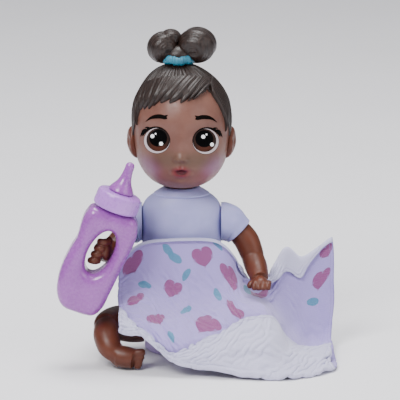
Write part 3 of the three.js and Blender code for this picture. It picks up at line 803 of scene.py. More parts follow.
def rounded_block(centre, size, radius):
    """A block with rounded edges."""
    bm = bmesh.new()
    bmesh.ops.create_cube(bm, size=1.0)
    bmesh.ops.scale(bm, vec=[v * MM for v in size], verts=bm.verts)
    bmesh.ops.bevel(bm, geom=bm.edges[:], offset=radius * MM, segments=4, affect="EDGES")
    bmesh.ops.translate(bm, vec=[v * MM for v in centre], verts=bm.verts)
    mesh = mesh_from(bm, "block")
    mesh.shade_smooth()
    return placed("block", mesh)


ACROSS = (1, 0, 0)
INWARD = (0, 1, 0)


def rod(axis, centre, radius, length):
    """A round rod along the axis."""
    bm = bmesh.new()
    bmesh.ops.create_cone(bm, cap_ends=True, segments=32, radius1=radius * MM, radius2=radius * MM,
                          depth=length * MM)
    turn = Vector((0, 0, 1)).rotation_difference(Vector(axis))
    bmesh.ops.rotate(bm, matrix=turn.to_matrix(), verts=bm.verts)
    bmesh.ops.translate(bm, vec=[v * MM for v in centre], verts=bm.verts)
    return placed("rod", mesh_from(bm, "rod"))


def back_openings():
    """What is cut out of the back: the door, the switch slot, four screw wells and the speaker holes."""
    size = (DOOR["width"], 12, DOOR["height"])
    openings = [rounded_block((0, DOOR["y"], DOOR["z"]), size, 1.0), rod(ACROSS, (0, 0, SHOULDER_Z), 2.5, 40)]
    openings.append(rounded_block((9.5, 9.5, 31.5), (2.8, 8, 6.4), 0.6))
    for x, z, depth in SCREWS:
        openings.append(rod(INWARD, (x, depth + 1.6, z), 1.8, 5.4))
    openings.append(rod(INWARD, (0, 10, GRILLE["z"]), GRILLE["hole"], 8))
    for i in range(6):
        x = GRILLE["radius"] * math.cos(i * math.pi / 3)
        z = GRILLE["z"] + GRILLE["radius"] * math.sin(i * math.pi / 3)
        openings.append(rod(INWARD, (x, 10, z), GRILLE["hole"], 8))
    return joined("openings", openings)


def build_door(back):
    """The battery door: the same curve as the back, with a screw well and four grip ridges."""
    door = placed("door", back.data.copy())
    size = (DOOR["width"] - 0.7, 12, DOOR["height"] - 0.7)
    carved(door, rounded_block((0, DOOR["y"], DOOR["z"]), size, 0.9), "INTERSECT")
    carved(door, rod(INWARD, (0, 12, 41.8), 1.8, 8))
    grips = [rounded_block((0, 12.35 - 0.02 * i, 23.0 + 1.5 * i), (6.4 - 0.8 * i, 0.8, 0.6), 0.25)
             for i in range(4)]
    return joined("door_panel", [door, *grips])


def build_shirt():
    """The moulded shirt: a front and a back half that meet in a seam, and the door in the back."""
    gap = 0.012
    front = casing("shirt_front", TORSO, TORSO_SIDE, math.pi + gap, 2 * math.pi - gap, 190, 220)
    back = casing("shirt_back", TORSO, TORSO_SIDE, gap, math.pi - gap, 190, 220)
    thickened(front, WALL)
    thickened(back, WALL)
    carved(front, rod(ACROSS, (0, 0, SHOULDER_Z), 2.5, 40))
    door = build_door(back)
    carved(back, back_openings())
    return front, back, door


def build_seat():
    """The moulded pants: a casing closed by a flat underside, with the holes of the hip pegs."""
    seat = casing("seat", SEAT, HIP_SIDE, 0, 2 * math.pi, 80, 260)
    bm = bmesh.new()
    bm.from_mesh(seat.data)
    bmesh.ops.remove_doubles(bm, verts=bm.verts, dist=1e-6)
    low = [e for e in bm.edges if e.is_boundary and max(v.co.z for v in e.verts) < 0.1 * MM]
    bmesh.ops.contextual_create(bm, geom=low)
    bm.to_mesh(seat.data)
    bm.free()
    thickened(seat, WALL)
    carved(seat, rod(ACROSS, (0, 0, HIP_Z), 2.8, 40))
    return seat


def disc_ring(centre, normal, radius, sides, squash):
    """A ring of points round centre, square to normal."""
    normal = np.asarray(normal, float)
    normal = normal / np.linalg.norm(normal)
    side = np.cross((0, 1, 0), normal)
    side /= np.linalg.norm(side)
    over = np.cross(normal, side)
    angle = round_angles(sides)[:, None]
    return np.asarray(centre, float) + np.cos(angle) * side * radius + np.sin(angle) * over * radius * squash


def build_sleeve(name, side, hem, facing):
    """A cap sleeve from the armhole to a thick rolled hem, open at the end."""
    hem = np.asarray(hem, float)
    facing = np.asarray(facing, float)
    facing /= np.linalg.norm(facing)
    flat = np.array([side, 0.0, 0.0])
    start = np.array([side * 15.06, 0, 50.2])
    stations = [
        (start, flat, 6.6), (start, flat, 7.2), (start + flat * 0.25, flat, 7.38),
        (start + flat * 1.6 + (0, 0, -0.1), 0.95 * flat + 0.12 * facing, 7.35),
        (0.55 * start + 0.45 * hem + flat * 1.0 + (0, 0, 0.7), 0.6 * flat + 0.45 * facing, 6.95),
        (hem - facing * 1.8, 0.12 * flat + facing, 6.15), (hem - facing * 0.5, facing, 5.95),
        (hem, facing, 5.8), (hem + facing * 0.1, facing, 5.55), (hem - facing * 0.15, facing, 5.3),
        (hem - facing * 0.8, facing, 5.15), (hem - facing * 3.0, facing, 5.0),
    ]
    guide = np.array([[*centre, *normal, radius] for centre, normal, radius in stations])
    line = curve_points(guide, 120)
    rings = np.array([disc_ring(row[:3], row[3:6], row[6], 96, 0.97) for row in line])
    return tube_mesh(name, rings)


def limb(path, sides=40, count=90, up=(0, 0, 1)):
    """A round limb through (x, y, z, radius) points; up keeps its rings from twisting."""
    line = curve_points(path, count)
    return tube_mesh("limb", swept(line[:, :3], line[:, 3], line[:, 3], sides, up=up))


def finger(base, tip, radius, bend):
    """A short round finger or toe, bent in its middle."""
    base, tip = np.asarray(base, float), np.asarray(tip, float)
    middle = (base + tip) / 2 + np.asarray(bend, float)
    end = tip + 0.55 * radius * (tip - middle) / np.linalg.norm(tip - middle)
    path = [(*base, radius), (*middle, radius * 1.04), (*tip, radius * 0.96), (*end, radius * 0.55)]
    return limb(path, 20, 26, up=(0.13, 0.21, 0.97))


def build_arm_left():
    """The arm that hangs beside the lap, its hand closed."""
    upper = [(20.4, -0.3, 48.0, 4.5), (24.4, -0.9, 43.4, 4.8), (26.6, -2.6, 38.6, 4.5),
             (27.4, -4.0, 36.6, 4.0)]
    lower = [(26.8, -2.8, 37.6, 4.2), (28.2, -6.2, 34.2, 4.3), (29.3, -10.4, 31.6, 3.7),
             (29.7, -12.4, 30.7, 3.1)]
    pieces = [limb(upper, up=(1, 0, 0)), limb(lower, up=(1, 0, 0)),
              ellipsoid((29.8, -14.6, 29.7), (3.1, 3.6, 2.5))]
    for i in range(4):
        x = 27.6 + 1.75 * i
        tip = (x - 0.2, -18.6 + 0.3 * abs(i - 1.5), 28.2)
        pieces.append(finger((x + 0.2, -15.6, 30.2), tip, 1.02, (0, -0.4, 0.5)))
    pieces.append(finger((27.6, -13.2, 29.6), (25.7, -15.8, 28.6), 1.15, (-0.4, 0, 0.2)))
    return melted("arm_skin_left", pieces, 0.3, 5)


def build_arm_right():
    """The arm that reaches forward through the hole of the bottle, its fingers round the far side."""
    upper = [(-19.8, -1.8, 48.2, 4.4), (-23.4, -4.4, 43.2, 4.7), (-26.2, -7.2, 40.8, 4.5),
             (-27.8, -9.2, 40.4, 4.1)]
    lower = [(-26.4, -7.6, 40.6, 4.2), (-28.6, -11.2, 41.2, 4.2), (-29.6, -15.0, 42.4, 3.6),
             (-29.8, -17.4, 43.2, 3.0)]
    wrist = [(-29.8, -16.6, 43.2, 3.0), (-29.8, -20.0, 44.0, 3.1), (-29.4, -22.6, 44.6, 3.0)]
    palm = [ellipsoid((-28.4, -23.4, 44.7), (2.3, 3.4, 4.3)),
            ellipsoid((-29.6, -22.8, 44.4), (2.4, 2.4, 3.9))]
    pieces = [limb(upper, up=(0, 1, 0)), limb(lower), limb(wrist), *palm]
    for i in range(4):
        z = 48.2 - 2.4 * i
        shift = 0.5 * (z - 44.7)
        tip = (-32.5 + shift, -25.6, z + 0.15)
        pieces.append(finger((-29.0 + shift, -25.0, z - 0.2), tip, 1.24, (0.1, -1.2, 0)))
    pieces.append(finger((-27.6, -22.8, 46.4), (-27.0, -25.2, 49.0), 1.3, (0.2, -0.6, 0.2)))
    return melted("arm_skin_right", pieces, 0.26, 3)


def build_leg(name, side, reach):
    """A bent leg with the foot turned in front; reach is how far from the middle the toes begin."""
    thigh = [(14.6, 0, 10.5, 7.3), (19.0, -4.0, 11.2, 7.3), (24.6, -11.0, 13.2, 6.5),
             (27.8, -17.6, 14.4, 5.3), (28.3, -20.4, 14.4, 4.6)]
    shin = [(28.0, -19.0, 14.0, 4.7), (28.3, -24.0, 11.8, 4.9), (27.0, -27.6, 8.4, 4.6),
            (24.8, -29.2, 6.3, 3.9), (22.6, -30.0, 5.5, 3.5)]
    foot = [(24.0, -29.8, 5.4, 3.9), (21.0, -30.4, 4.9, 4.1), (17.6, -31.0, 4.4, 3.7),
            (reach + 1.2, -31.4, 4.2, 3.3)]
    pieces = [limb([(side * x, y, z, r) for x, y, z, r in line]) for line in (thigh, shin, foot)]
    pieces.append(ellipsoid((side * 23.4, -29.4, 4.9), (3.4, 3.6, 4.2)))
    for i, (z, radius) in enumerate(((7.1, 1.45), (5.2, 1.15), (3.6, 1.05), (2.2, 0.95), (1.3, 0.8))):
        base = (side * (reach + 1.6), -31.5, z * 0.9 + 0.4)
        tip = (side * (reach - 1.6 + 0.35 * i), -31.9, z)
        pieces.append(finger(base, tip, radius, (0, -0.2, 0)))
    leg = melted(name, pieces, 0.3, 5)
    carved(leg, rounded_block((side * 9.3, 0, 10), (10, 40, 40), 0.5))
    return leg


# ------------------------------------------------------------------ bottle
# The bottle stands upright in its own frame, with z up from its foot; place_bottle tilts it
BOTTLE = {"x": -38.9, "y": -25.0, "z": 22.1, "tilt": 0.342, "depth": 13.0, "bevel": 2.6}
BOTTLE_OUTLINE = [(-6, 0), (-9.6, 4), (-11.1, 9.4), (-11.3, 15.5), (-10.5, 22), (-9.6, 26.2),
                  (-9.7, 29.6), (-9.9, 33.3), (-9.5, 36.7), (-7.4, 40), (0, 40.8), (7.8, 40.6),
                  (10.3, 38.2), (11.4, 34), (11.2, 29), (10.4, 22.5), (9.8, 17), (9, 9.5), (8.2, 4),
                  (5.6, 0.2), (0, -0.5)]
BOTTLE_HOLE = {"x": 0.6, "z": 24.2, "half_width": 4.5, "half_height": 9.0, "turn": 0.157}


def place_bottle(piece):
    """From the bottle's own upright frame to where the hand holds it."""
    tilt = BOTTLE["tilt"]
    for vertex in piece.data.vertices:
        x, y, z = vertex.co
        vertex.co = (x * math.cos(tilt) + z * math.sin(tilt) + BOTTLE["x"] * MM, y + BOTTLE["y"] * MM,
                     -x * math.sin(tilt) + z * math.cos(tilt) + BOTTLE["z"] * MM)
    return piece


def closed_curve(points, count):
    """A smooth closed outline through the points."""
    wrapped = [*points[-3:], *points, *points[:3]]
    dense = curve_points(wrapped, (len(wrapped) - 1) * 40 + 1)
    loop = dense[3 * 40:(len(points) + 3) * 40]
    return loop[np.linspace(0, len(loop), count, endpoint=False).astype(int)]


def hole_outline(count):
    """The oval hole for the hand."""
    angle = round_angles(count)
    x = BOTTLE_HOLE["half_width"] * np.cos(angle)
    z = BOTTLE_HOLE["half_height"] * np.sin(angle)
    turn = BOTTLE_HOLE["turn"]
    return np.stack([BOTTLE_HOLE["x"] + x * math.cos(turn) + z * math.sin(turn),
                     BOTTLE_HOLE["z"] - x * math.sin(turn) + z * math.cos(turn)], axis=-1)


def bottle_blank(outline, hole):
    """The outline with its hole, filled and given depth and a bevel."""
    curve = bpy.data.curves.new("bottle_outline", "CURVE")
    curve.dimensions = "2D"
    curve.fill_mode = "BOTH"
    for loop in (outline, hole):
        spline = curve.splines.new("POLY")
        spline.points.add(len(loop) - 1)
        spline.use_cyclic_u = True
        for point, (x, z) in zip(spline.points, loop):
            point.co = (x * MM, z * MM, 0, 1)
    curve.extrude = (BOTTLE["depth"] / 2 - BOTTLE["bevel"]) * MM
    curve.bevel_depth = BOTTLE["bevel"] * MM
    curve.bevel_resolution = 6
    curve.offset = -BOTTLE["bevel"] * MM
    shape = placed("bottle_outline", curve)
    graph = bpy.context.evaluated_depsgraph_get()
    mesh = bpy.data.meshes.new_from_object(shape.evaluated_get(graph))
    bpy.data.objects.remove(shape)
    for vertex in mesh.vertices:
        vertex.co = (vertex.co.x, -vertex.co.z, vertex.co.y)
    return placed("bottle_blank", mesh)


def build_bottle_body():
    """A puffed bottle with an oval hole for the hand."""
    outline = closed_curve(BOTTLE_OUTLINE, 220)
    hole = hole_outline(120)
    body = melted("bottle_shell", [bottle_blank(outline, hole)], 0.4, 6)
    edges = np.concatenate([outline, hole])
    points = np.array([v.co for v in body.data.vertices]) / MM
    aside = points[:, None, 0] - edges[None, :, 0]
    above = points[:, None, 2] - edges[None, :, 1]
    away = np.min(np.hypot(aside, above), axis=1)
    puff = 0.8 + 0.2 * np.sqrt(1 - (1 - np.clip(away / 5.2, 0, 1)) ** 2)
    points[:, 1] *= puff
    body.data.vertices.foreach_set("co", (points * MM).ravel())
    body.data.update()
    return place_bottle(body)


def turned(name, profile, sides, ripple=0.0, waves=0):
    """A piece turned round the bottle's axis from (radius, height) points."""
    middle = 0.3
    line = curve_points(profile, 110)
    angle = round_angles(sides)[None, :]
    radius = line[:, 0][:, None] * (1 + ripple * np.cos(waves * angle))
    rings = grid_points(middle + radius * np.cos(angle), radius * np.sin(angle), line[:, 1][:, None])
    return place_bottle(tube_mesh(name, rings))


def build_bottle_top():
    """The collar with its fine ribs, and the nipple."""
    collar = [(5.2, 40.95), (7.2, 40.95), (8.2, 41.3), (8.6, 42.2), (8.5, 44.5), (8.35, 46.4), (7.9, 47.3),
              (6.6, 47.7), (4.8, 47.8)]
    nipple = [(3.9, 47.9), (4.6, 47.95), (4.7, 48.6), (4.1, 49.8), (3.1, 51.3), (2.3, 53.2), (1.85, 55.4),
              (1.7, 57.2), (1.66, 58.4), (1.3, 59.3), (0.6, 59.7), (0.15, 59.72)]
    return turned("bottle_cap", collar, 160, ripple=0.004, waves=28), turned("bottle_teat", nipple, 96)


# ------------------------------------------------------------------ blanket
CLOTH_FRAMES = 14
CLOTH_SCALE = 20.0                 # the solver suits cloth that is centimetres thick better
STAND_IN_FACES = 4000
LOFT = 0.8                         # how far a turned-back flap lies off the cloth under it
# Where the cloth lies: at each place across, x, its (y, z) points from the waist to the hem
RIBS = [
    (-23.5, [(-13.8, 37.0), (-15.2, 31.0), (-19, 26.0), (-25, 23.6),
        (-30, 22.2), (-33.6, 19.8), (-35.4, 17.4), (-36.0, 15.4)]),
    (-19, [(-13.5, 41.4), (-14.2, 33.6), (-17.4, 27.4), (-24, 24.0),
        (-31, 21.6), (-35.2, 18.8), (-36.8, 16.8), (-37.4, 15.3)]),
    (-14, [(-13.4, 44.4), (-13.9, 36), (-16.5, 28), (-23, 23.8),
        (-31, 20.8), (-35.8, 18.4), (-37.4, 16.8), (-38.0, 15.5)]),
    (-9, [(-13.2, 45.4), (-13.8, 36), (-16.2, 27.4), (-23, 22.6),
        (-31, 19.8), (-36.8, 15.8), (-38.6, 13.0), (-39.2, 11.2)]),
    (-3, [(-13.2, 45.8), (-13.8, 36), (-16, 27), (-23, 21.8),
        (-31, 18.8), (-37.6, 13.4), (-40, 9.0), (-40.8, 5.8)]),
    (5, [(-13.2, 46), (-13.8, 36), (-16, 27), (-23, 21.4),
        (-31, 18), (-38.2, 11.8), (-41, 6.2), (-42.0, 3.4)]),
    (13, [(-13, 45), (-13.8, 35), (-16.2, 27), (-23, 22.6),
        (-31, 19.4), (-38.5, 11.8), (-42, 5.4), (-43.4, 2.8)]),
    (19, [(-11, 39), (-13, 31), (-16.6, 26.6), (-23.6, 24.4),
        (-31, 19.6), (-38.5, 10.8), (-43, 4.2), (-44.6, 1.8)]),
    (26, [(-4, 25.4), (-9, 24.8), (-16, 24.2), (-24, 22.8),
        (-31, 17.4), (-38.5, 9), (-44, 3), (-46, 1.2)]),
    (33, [(2, 27), (-4, 22), (-12, 21.4), (-20.5, 20.4),
        (-29, 16.4), (-38, 7), (-44.4, 2.2), (-46.6, 1.2)]),
    (40, [(5.5, 38), (3.5, 24), (-4, 13), (-15, 9),
        (-26, 5.4), (-36, 2.6), (-43, 1.4), (-46.4, 1.1)]),
    (46, [(7, 34), (5.6, 19), (0, 7), (-10, 3.4),
        (-21, 2.2), (-32, 1.6), (-39.6, 1.2), (-43.4, 1.1)]),
    (52, [(8, 37), (6.6, 19), (2, 6), (-8, 2.4),
        (-19, 1.7), (-29, 1.4), (-35.8, 1.1), (-39.4, 1)]),
    (58, [(8.2, 41.5), (6.8, 21), (2.4, 6.6), (-7, 2.4),
        (-17, 1.7), (-25.6, 1.3), (-31, 1.1), (-34, 1)]),
]
# How far the hem and the waist edge are turned back, as (x, length)
FRONT_FLAP = [(-23.5, 11.5), (-20, 8), (-16, 2.6), (-13.5, 1.0), (-5, 1.0), (-2.5, 3), (-1, 5.2), (3, 9),
              (7.4, 12.4), (13.6, 14.2), (18, 19), (24, 24), (32, 27), (40, 29), (48, 29), (58, 26)]
BACK_FLAP = [(-23.5, 0.2), (26, 0.2), (32, 2.4), (36, 6.5), (41, 9), (46, 7.5), (50, 3), (54, 1), (58, 1.0)]


def blanket_rib(x):
    """Dense (y, z) points of the lying part of the blanket at one place across."""
    places = [r[0] for r in RIBS]
    table = np.array([np.array(r[1]).ravel() for r in RIBS])
    share = np.interp(x, places, np.arange(len(places)))
    i = int(min(share, len(places) - 2))
    f = share - i
    before, a, b, after = (table[min(max(k, 0), len(table) - 1)] for k in (i - 1, i, i + 1, i + 2))
    rib = 0.5 * (2 * a + (b - before) * f + (2 * before - 5 * a + 4 * b - after) * f**2
                 + (3 * a - before - 3 * b + after) * f**3)
    line = curve_points(rib.reshape(-1, 2), 400)
    lengths = np.concatenate([[0], np.cumsum(np.linalg.norm(np.diff(line, axis=0), axis=1))])
    return line, lengths


def on_rib(x, line, lengths, distance, lift):
    """The (y, z) of the cloth that far down the rib at x, raised by lift; past its ends it runs straight."""
    total = lengths[-1]
    where = np.clip(distance, 0, total)

    def point(place):
        return np.array([np.interp(place, lengths, line[:, 0]), np.interp(place, lengths, line[:, 1])])

    ahead = point(np.clip(where + 0.8, 0, total)) - point(np.clip(where - 0.8, 0, total))
    ahead /= np.linalg.norm(ahead)
    out = np.array([ahead[1], -ahead[0]])
    return point(where) + out * (crease(x, where) + lift) + ahead * (distance - where)


def blanket_strip(x):
    """(y, z, distance) of the cloth at x, from the turned-back waist edge to the turned-back hem."""
    rows, flap_rows, turn_rows = 66, 28, 4
    line, lengths = blanket_rib(x)
    total = lengths[-1]
    front = float(np.interp(x, *zip(*FRONT_FLAP)))
    back = float(np.interp(x, *zip(*BACK_FLAP)))
    strip = []

    def add(distance, lift, printed):
        strip.append((*on_rib(x, line, lengths, distance, lift), printed))

    for k in range(flap_rows // 2):
        distance = back * (1 - k / (flap_rows // 2))
        add(distance, LOFT + 0.25 * math.sin(0.5 * distance), -distance)
    for k in range(1, turn_rows):
        angle = math.pi * k / turn_rows
        add(-0.5 * math.sin(angle), LOFT / 2 * (1 + math.cos(angle)), 0.0)
    for k in range(rows):
        distance = total * k / (rows - 1)
        add(distance, 0.0, distance)
    for k in range(1, turn_rows):
        angle = math.pi * k / turn_rows
        add(total + 0.5 * math.sin(angle), LOFT / 2 * (1 - math.cos(angle)), total)
    for k in range(1, flap_rows + 1):
        distance = front * k / flap_rows
        pleat = 1.3 * smooth_step(9.2, 10.2, distance + 1.2 * math.sin(0.11 * x)) * smooth_step(14, 20, x)
        puff = 0.7 * math.sin(math.pi * min(1.0, distance / max(front, 1.0))) * min(1.0, front / 8)
        add(total - distance, LOFT + puff + pleat, total + distance)
    return strip


def build_blanket():
    """A thin woven cloth over the lap: creased, with its corners and front edge turned back."""
    columns = 124
    across = np.linspace(RIBS[0][0], RIBS[-1][0], columns)
    vertices, flat, hems = [], [], []
    for x in across:
        strip = blanket_strip(x)
        first, last = strip[0][2], strip[-1][2]
        for y, z, distance in strip:
            vertices.append((x + sway(x, distance), y, max(z, 0.45)))
            flat.append((x, distance))
            hems.append(min(distance - first, last - distance, x - across[0], across[-1] - x))
    sheet = make_mesh("blanket_cloth", vertices, sheet_faces(columns, len(vertices) // columns))
    layer = sheet.data.uv_layers.new(name="cloth")
    for loop in sheet.data.loops:
        u, v = flat[loop.vertex_index]
        layer.data[loop.index].uv = (u / 100, v / 100)
    attribute = sheet.data.attributes.new("hem", "FLOAT", "POINT")
    attribute.data.foreach_set("value", hems)
    turn_print_up(sheet)
    return sheet


def turn_print_up(sheet):
    """Makes the printed side, over the lap, face up."""
    bm = bmesh.new()
    bm.from_mesh(sheet.data)
    slope = 0
    for face in bm.faces:
        centre = face.calc_center_median()
        if abs(centre.x - 0.003) < 0.004 and -0.03 < centre.y < -0.02:
            slope += face.normal.z
    if slope < 0:
        bmesh.ops.reverse_faces(bm, faces=bm.faces)
    bm.to_mesh(sheet.data)
    bm.free()


def crease(x, distance):
    """How far creases lift the cloth off its plain lie."""
    slack = smooth_step(6, 22, distance) * 1.0
    fan = 0.5 * math.sin(0.42 * x + 0.05 * distance + 0.8 * math.sin(0.09 * distance))
    cross = 0.35 * math.sin(0.23 * distance + 0.16 * x + 1.3 * math.sin(0.12 * x))
    fine = 0.14 * math.sin(0.9 * x - 0.35 * distance + 2 * math.sin(0.21 * x))
    return (fan + cross + fine) * slack * 0.8 + 0.12 * math.sin(0.8 * x + 0.3 * distance)


def sway(x, distance):
    """How far the edges of the cloth wander sideways."""
    return 0.5 * math.sin(0.13 * distance + 0.1 * x) + 0.25 * math.sin(0.31 * distance)


def cloth_material(name, reverse):
    """Woven cotton: the print on a lilac ground, or the paler plain reverse, both with painted shade along
    the hem.
    """
    cloth = Shader(name, 0.92, Sheen_Weight=0.35, Sheen_Roughness=0.5)
    flat = cloth.node("ShaderNodeUVMap", {"uv_map": "cloth"}).outputs[0]
    flat = cloth.vectors("MULTIPLY", flat, (100, 100, 100))
    parts = cloth.node("ShaderNodeSeparateXYZ", Vector=flat).outputs
    pitch = 9.0
    warp = cloth.maths("SINE", cloth.times(parts[0], pitch))
    weft = cloth.maths("SINE", cloth.times(parts[1], pitch))
    weave = cloth.times(warp, weft)
    fuzz = cloth.noise(3.0, 3, source=flat)
    cloud = cloth.noise(0.07, 3, source=flat)
    if reverse:
        colour = cloth.mix(cloud, rgb(184, 182, 212), rgb(200, 198, 224))
    else:
        colour = cloth.mix(cloud, rgb(150, 134, 200), rgb(166, 150, 212))
        colour = printed_motifs(cloth, parts, colour)
    shade = cloth.ramp(weave, -1, 1, 0.0, 0.22)
    colour = cloth.mix(shade, colour, rgb(128, 116, 176) if not reverse else rgb(150, 147, 184))
    colour = cloth.mix(cloth.ramp(fuzz, 0.35, 0.75, 0.0, 0.12), colour, rgb(232, 228, 242))
    # Painted shade along the hem: the cloth is darkened up to its cut edge, against the lamp light that falls
    # on the upturned edge.
    hem = cloth.node("ShaderNodeAttribute", {"attribute_name": "hem"}).outputs["Fac"]
    rim = cloth.ramp(hem, 0.15, 0.7, 0.5, 0.0)
    colour = cloth.mix(rim, colour, rgb(150, 147, 184) if reverse else rgb(104, 90, 156))
    stitch = cloth.times(cloth.ramp(hem, 1.0, 1.15), cloth.ramp(hem, 1.45, 1.6, 1.0, 0.0))
    colour = cloth.mix(cloth.times(stitch, 0.3), colour, rgb(140, 122, 180))
    cloth.colour(colour)
    height = cloth.plus(cloth.times(weave, 0.5), cloth.times(fuzz, 0.7))
    height = cloth.minus(height, cloth.times(stitch, 0.8))
    cloth.bump(height, 0.09)
    return cloth


def printed_motifs(cloth, parts, ground):
    """Hearts and teal leaves scattered over the print."""
    colour = ground
    # x, height as seen from the front, size, turn
    hearts = [(-17.9, 32.8, 3.9, 0.15), (9.4, 10.6, 4.7, -0.7), (-8.6, 12.6, 3.6, 0.4), (7.6, 35.0, 4.0, 0.3),
              (-4.0, 23.0, 3.6, -0.4), (18.5, 27.0, 3.8, 0.5), (20.0, 16.0, 3.6, -0.3),
              (30.0, 20.5, 3.6, 0.3), (46.8, 32.5, 2.4, 0.4), (53.0, 26.0, 3.4, -0.3),
              (55.5, 37.0, 2.4, 0.2), (-18.0, 19.0, 3.2, -0.2)]
    for x, height, size, turn in hearts:
        share = heart_share(cloth, parts, x, along_cloth(x, height), size, turn)
        colour = cloth.mix(cloth.times(share, 0.95), colour, rgb(126, 18, 92))
    # x, height as seen from the front, half length, half width, turn
    leaves = [(-5.4, 38.4, 2.6, 1.5, 0.5), (-3.0, 35.4, 3.0, 1.6, 0.9), (1.5, 29.0, 2.6, 1.3, -0.5),
              (13.8, 21.0, 3.0, 1.4, 0.2), (-14.0, 25.0, 2.8, 1.3, 0.9), (25.0, 22.5, 2.8, 1.4, 0.4),
              (2.2, 15.5, 2.8, 1.4, -0.6), (-3.5, 6.0, 2.6, 1.2, 0.2), (49.5, 36.0, 2.0, 1.0, 0.9),
              (50.0, 18.0, 2.6, 1.3, 0.9), (13.0, 40.5, 2.4, 1.2, 0.9)]
    for x, height, long_radius, short_radius, turn in leaves:
        share = oval_share(cloth, parts, x, along_cloth(x, height), long_radius, short_radius, turn)
        colour = cloth.mix(cloth.times(share, 0.94), colour, rgb(24, 122, 150))
    return colour


def along_cloth(x, height):
    """Distance down the cloth at x to where it is seen that high on a plane square to the view."""
    line, lengths = blanket_rib(x)
    seen = line[:, 1] * math.cos(VIEW_TILT) + line[:, 0] * math.sin(VIEW_TILT)
    return float(lengths[int(np.argmin(np.abs(seen - height)))])


def turned_place(cloth, parts, u, v, size, turn):
    """Coordinates about (u, v), turned and scaled so that size is 1; the second runs up the cloth."""
    du = cloth.maths("DIVIDE", cloth.minus(parts[0], u), size)
    dv = cloth.maths("DIVIDE", cloth.minus(v, parts[1]), size)
    cosine, sine = math.cos(turn), math.sin(turn)
    a = cloth.plus(cloth.times(du, cosine), cloth.times(dv, sine))
    b = cloth.minus(cloth.times(dv, cosine), cloth.times(du, sine))
    return a, b


def heart_share(cloth, parts, u, v, size, turn):
    """1 inside a heart, from the curve (a^2 + b^2 - 1)^3 = a^2 b^3."""
    a, b = turned_place(cloth, parts, u, v, size / 1.15, turn)
    a2 = cloth.times(a, a)
    b2 = cloth.times(b, b)
    ring = cloth.minus(cloth.plus(a2, b2), 1.0)
    cube = cloth.times(ring, cloth.times(ring, ring))
    lobe = cloth.times(cloth.times(a2, b2), b)
    return cloth.ramp(cloth.minus(cube, lobe), -0.02, 0.02, 1.0, 0.0)


def oval_share(cloth, parts, u, v, long_radius, short_radius, turn):
    """1 inside a leaf: an oval with an uneven edge."""
    a, b = turned_place(cloth, parts, u, v, 1.0, turn)
    a2 = cloth.maths("POWER", cloth.maths("ABSOLUTE", cloth.maths("DIVIDE", a, short_radius)), 2.0)
    b2 = cloth.maths("POWER", cloth.maths("ABSOLUTE", cloth.maths("DIVIDE", b, long_radius)), 2.0)
    wobble = cloth.times(cloth.noise(0.5, 2), 0.8)
    return cloth.ramp(cloth.plus(cloth.plus(a2, b2), wobble), 1.3, 1.45, 1.0, 0.0)


def give_two_faces(sheet):
    """Gives the cloth its two faces and its thickness."""
    front = cloth_material("blanket_print", False)
    back = cloth_material("blanket_reverse", True)
    sheet.data.materials.append(front.material)
    sheet.data.materials.append(back.material)
    body = sheet.modifiers.new("thickness", "SOLIDIFY")
    body.thickness = 0.45 * MM
    body.offset = -1.0
    body.use_even_offset = False
    body.material_offset = 1
    body.material_offset_rim = 0
    apply_modifiers(sheet)
    sheet.data.shade_smooth()


def stand_in_for(obstacle):
    """A coarse, enlarged copy of an obstacle for the cloth to lie on."""
    copy = placed("stand_in", obstacle.data.copy())
    copy.data.transform(Matrix.Scale(CLOTH_SCALE, 4))
    if len(copy.data.polygons) > STAND_IN_FACES:
        coarse = copy.modifiers.new("coarse", "DECIMATE")
        coarse.ratio = STAND_IN_FACES / len(copy.data.polygons)
        apply_modifiers(copy)
    copy.modifiers.new("solid", "COLLISION")
    copy.collision.thickness_outer = 0.006
    copy.collision.cloth_friction = 20
    return copy


def hold_cloth(sheet):
    """Pins the enlarged cloth half everywhere, and firmly on the belly and where a fold stands up."""
    held = sheet.vertex_groups.new(name="held")
    for vertex in sheet.data.vertices:
        x, y, z = (c / CLOTH_SCALE / MM for c in vertex.co)
        on_belly = smooth_step(30, 40, z) * smooth_step(-16, -13, y)
        standing = smooth_step(34, 38, x) * smooth_step(6, 14, z)
        held.add([vertex.index], float(np.clip(0.5 + on_belly + 0.4 * standing, 0, 1)), "REPLACE")


def make_cloth(sheet):
    """A light cotton cloth that may grow a little, so that it crumples."""
    cloth = sheet.modifiers.new("cloth", "CLOTH")
    feel = cloth.settings
    feel.quality = 6
    feel.mass = 0.25
    feel.tension_stiffness = 12
    feel.compression_stiffness = 12
    feel.shear_stiffness = 6
    feel.bending_stiffness = 0.35
    feel.air_damping = 2.0
    feel.vertex_group_mass = "held"
    feel.pin_stiffness = 1.0
    feel.shrink_min = -0.04
    touch = cloth.collision_settings
    touch.collision_quality = 3
    touch.distance_min = 0.006
    touch.use_self_collision = True
    touch.self_distance_min = 0.009
    cloth.point_cache.frame_start = 1
    cloth.point_cache.frame_end = CLOTH_FRAMES


def settle(sheet, obstacles):
    """Lets the cloth hang and crumple over what it lies on."""
    scene = bpy.context.scene
    stand_ins = [stand_in_for(obstacle) for obstacle in obstacles]
    sheet.data.transform(Matrix.Scale(CLOTH_SCALE, 4))
    hold_cloth(sheet)
    make_cloth(sheet)
    scene.frame_start = 1
    scene.frame_end = CLOTH_FRAMES
    for number in range(1, CLOTH_FRAMES + 1):
        scene.frame_set(number)
    apply_modifiers(sheet)
    scene.frame_set(1)
    sheet.data.transform(Matrix.Scale(1 / CLOTH_SCALE, 4))
    sheet.vertex_groups.clear()
    for copy in stand_ins:
        bpy.data.objects.remove(copy)
    smooth = sheet.modifiers.new("smooth", "SUBSURF")
    smooth.levels = 1
    apply_modifiers(sheet)


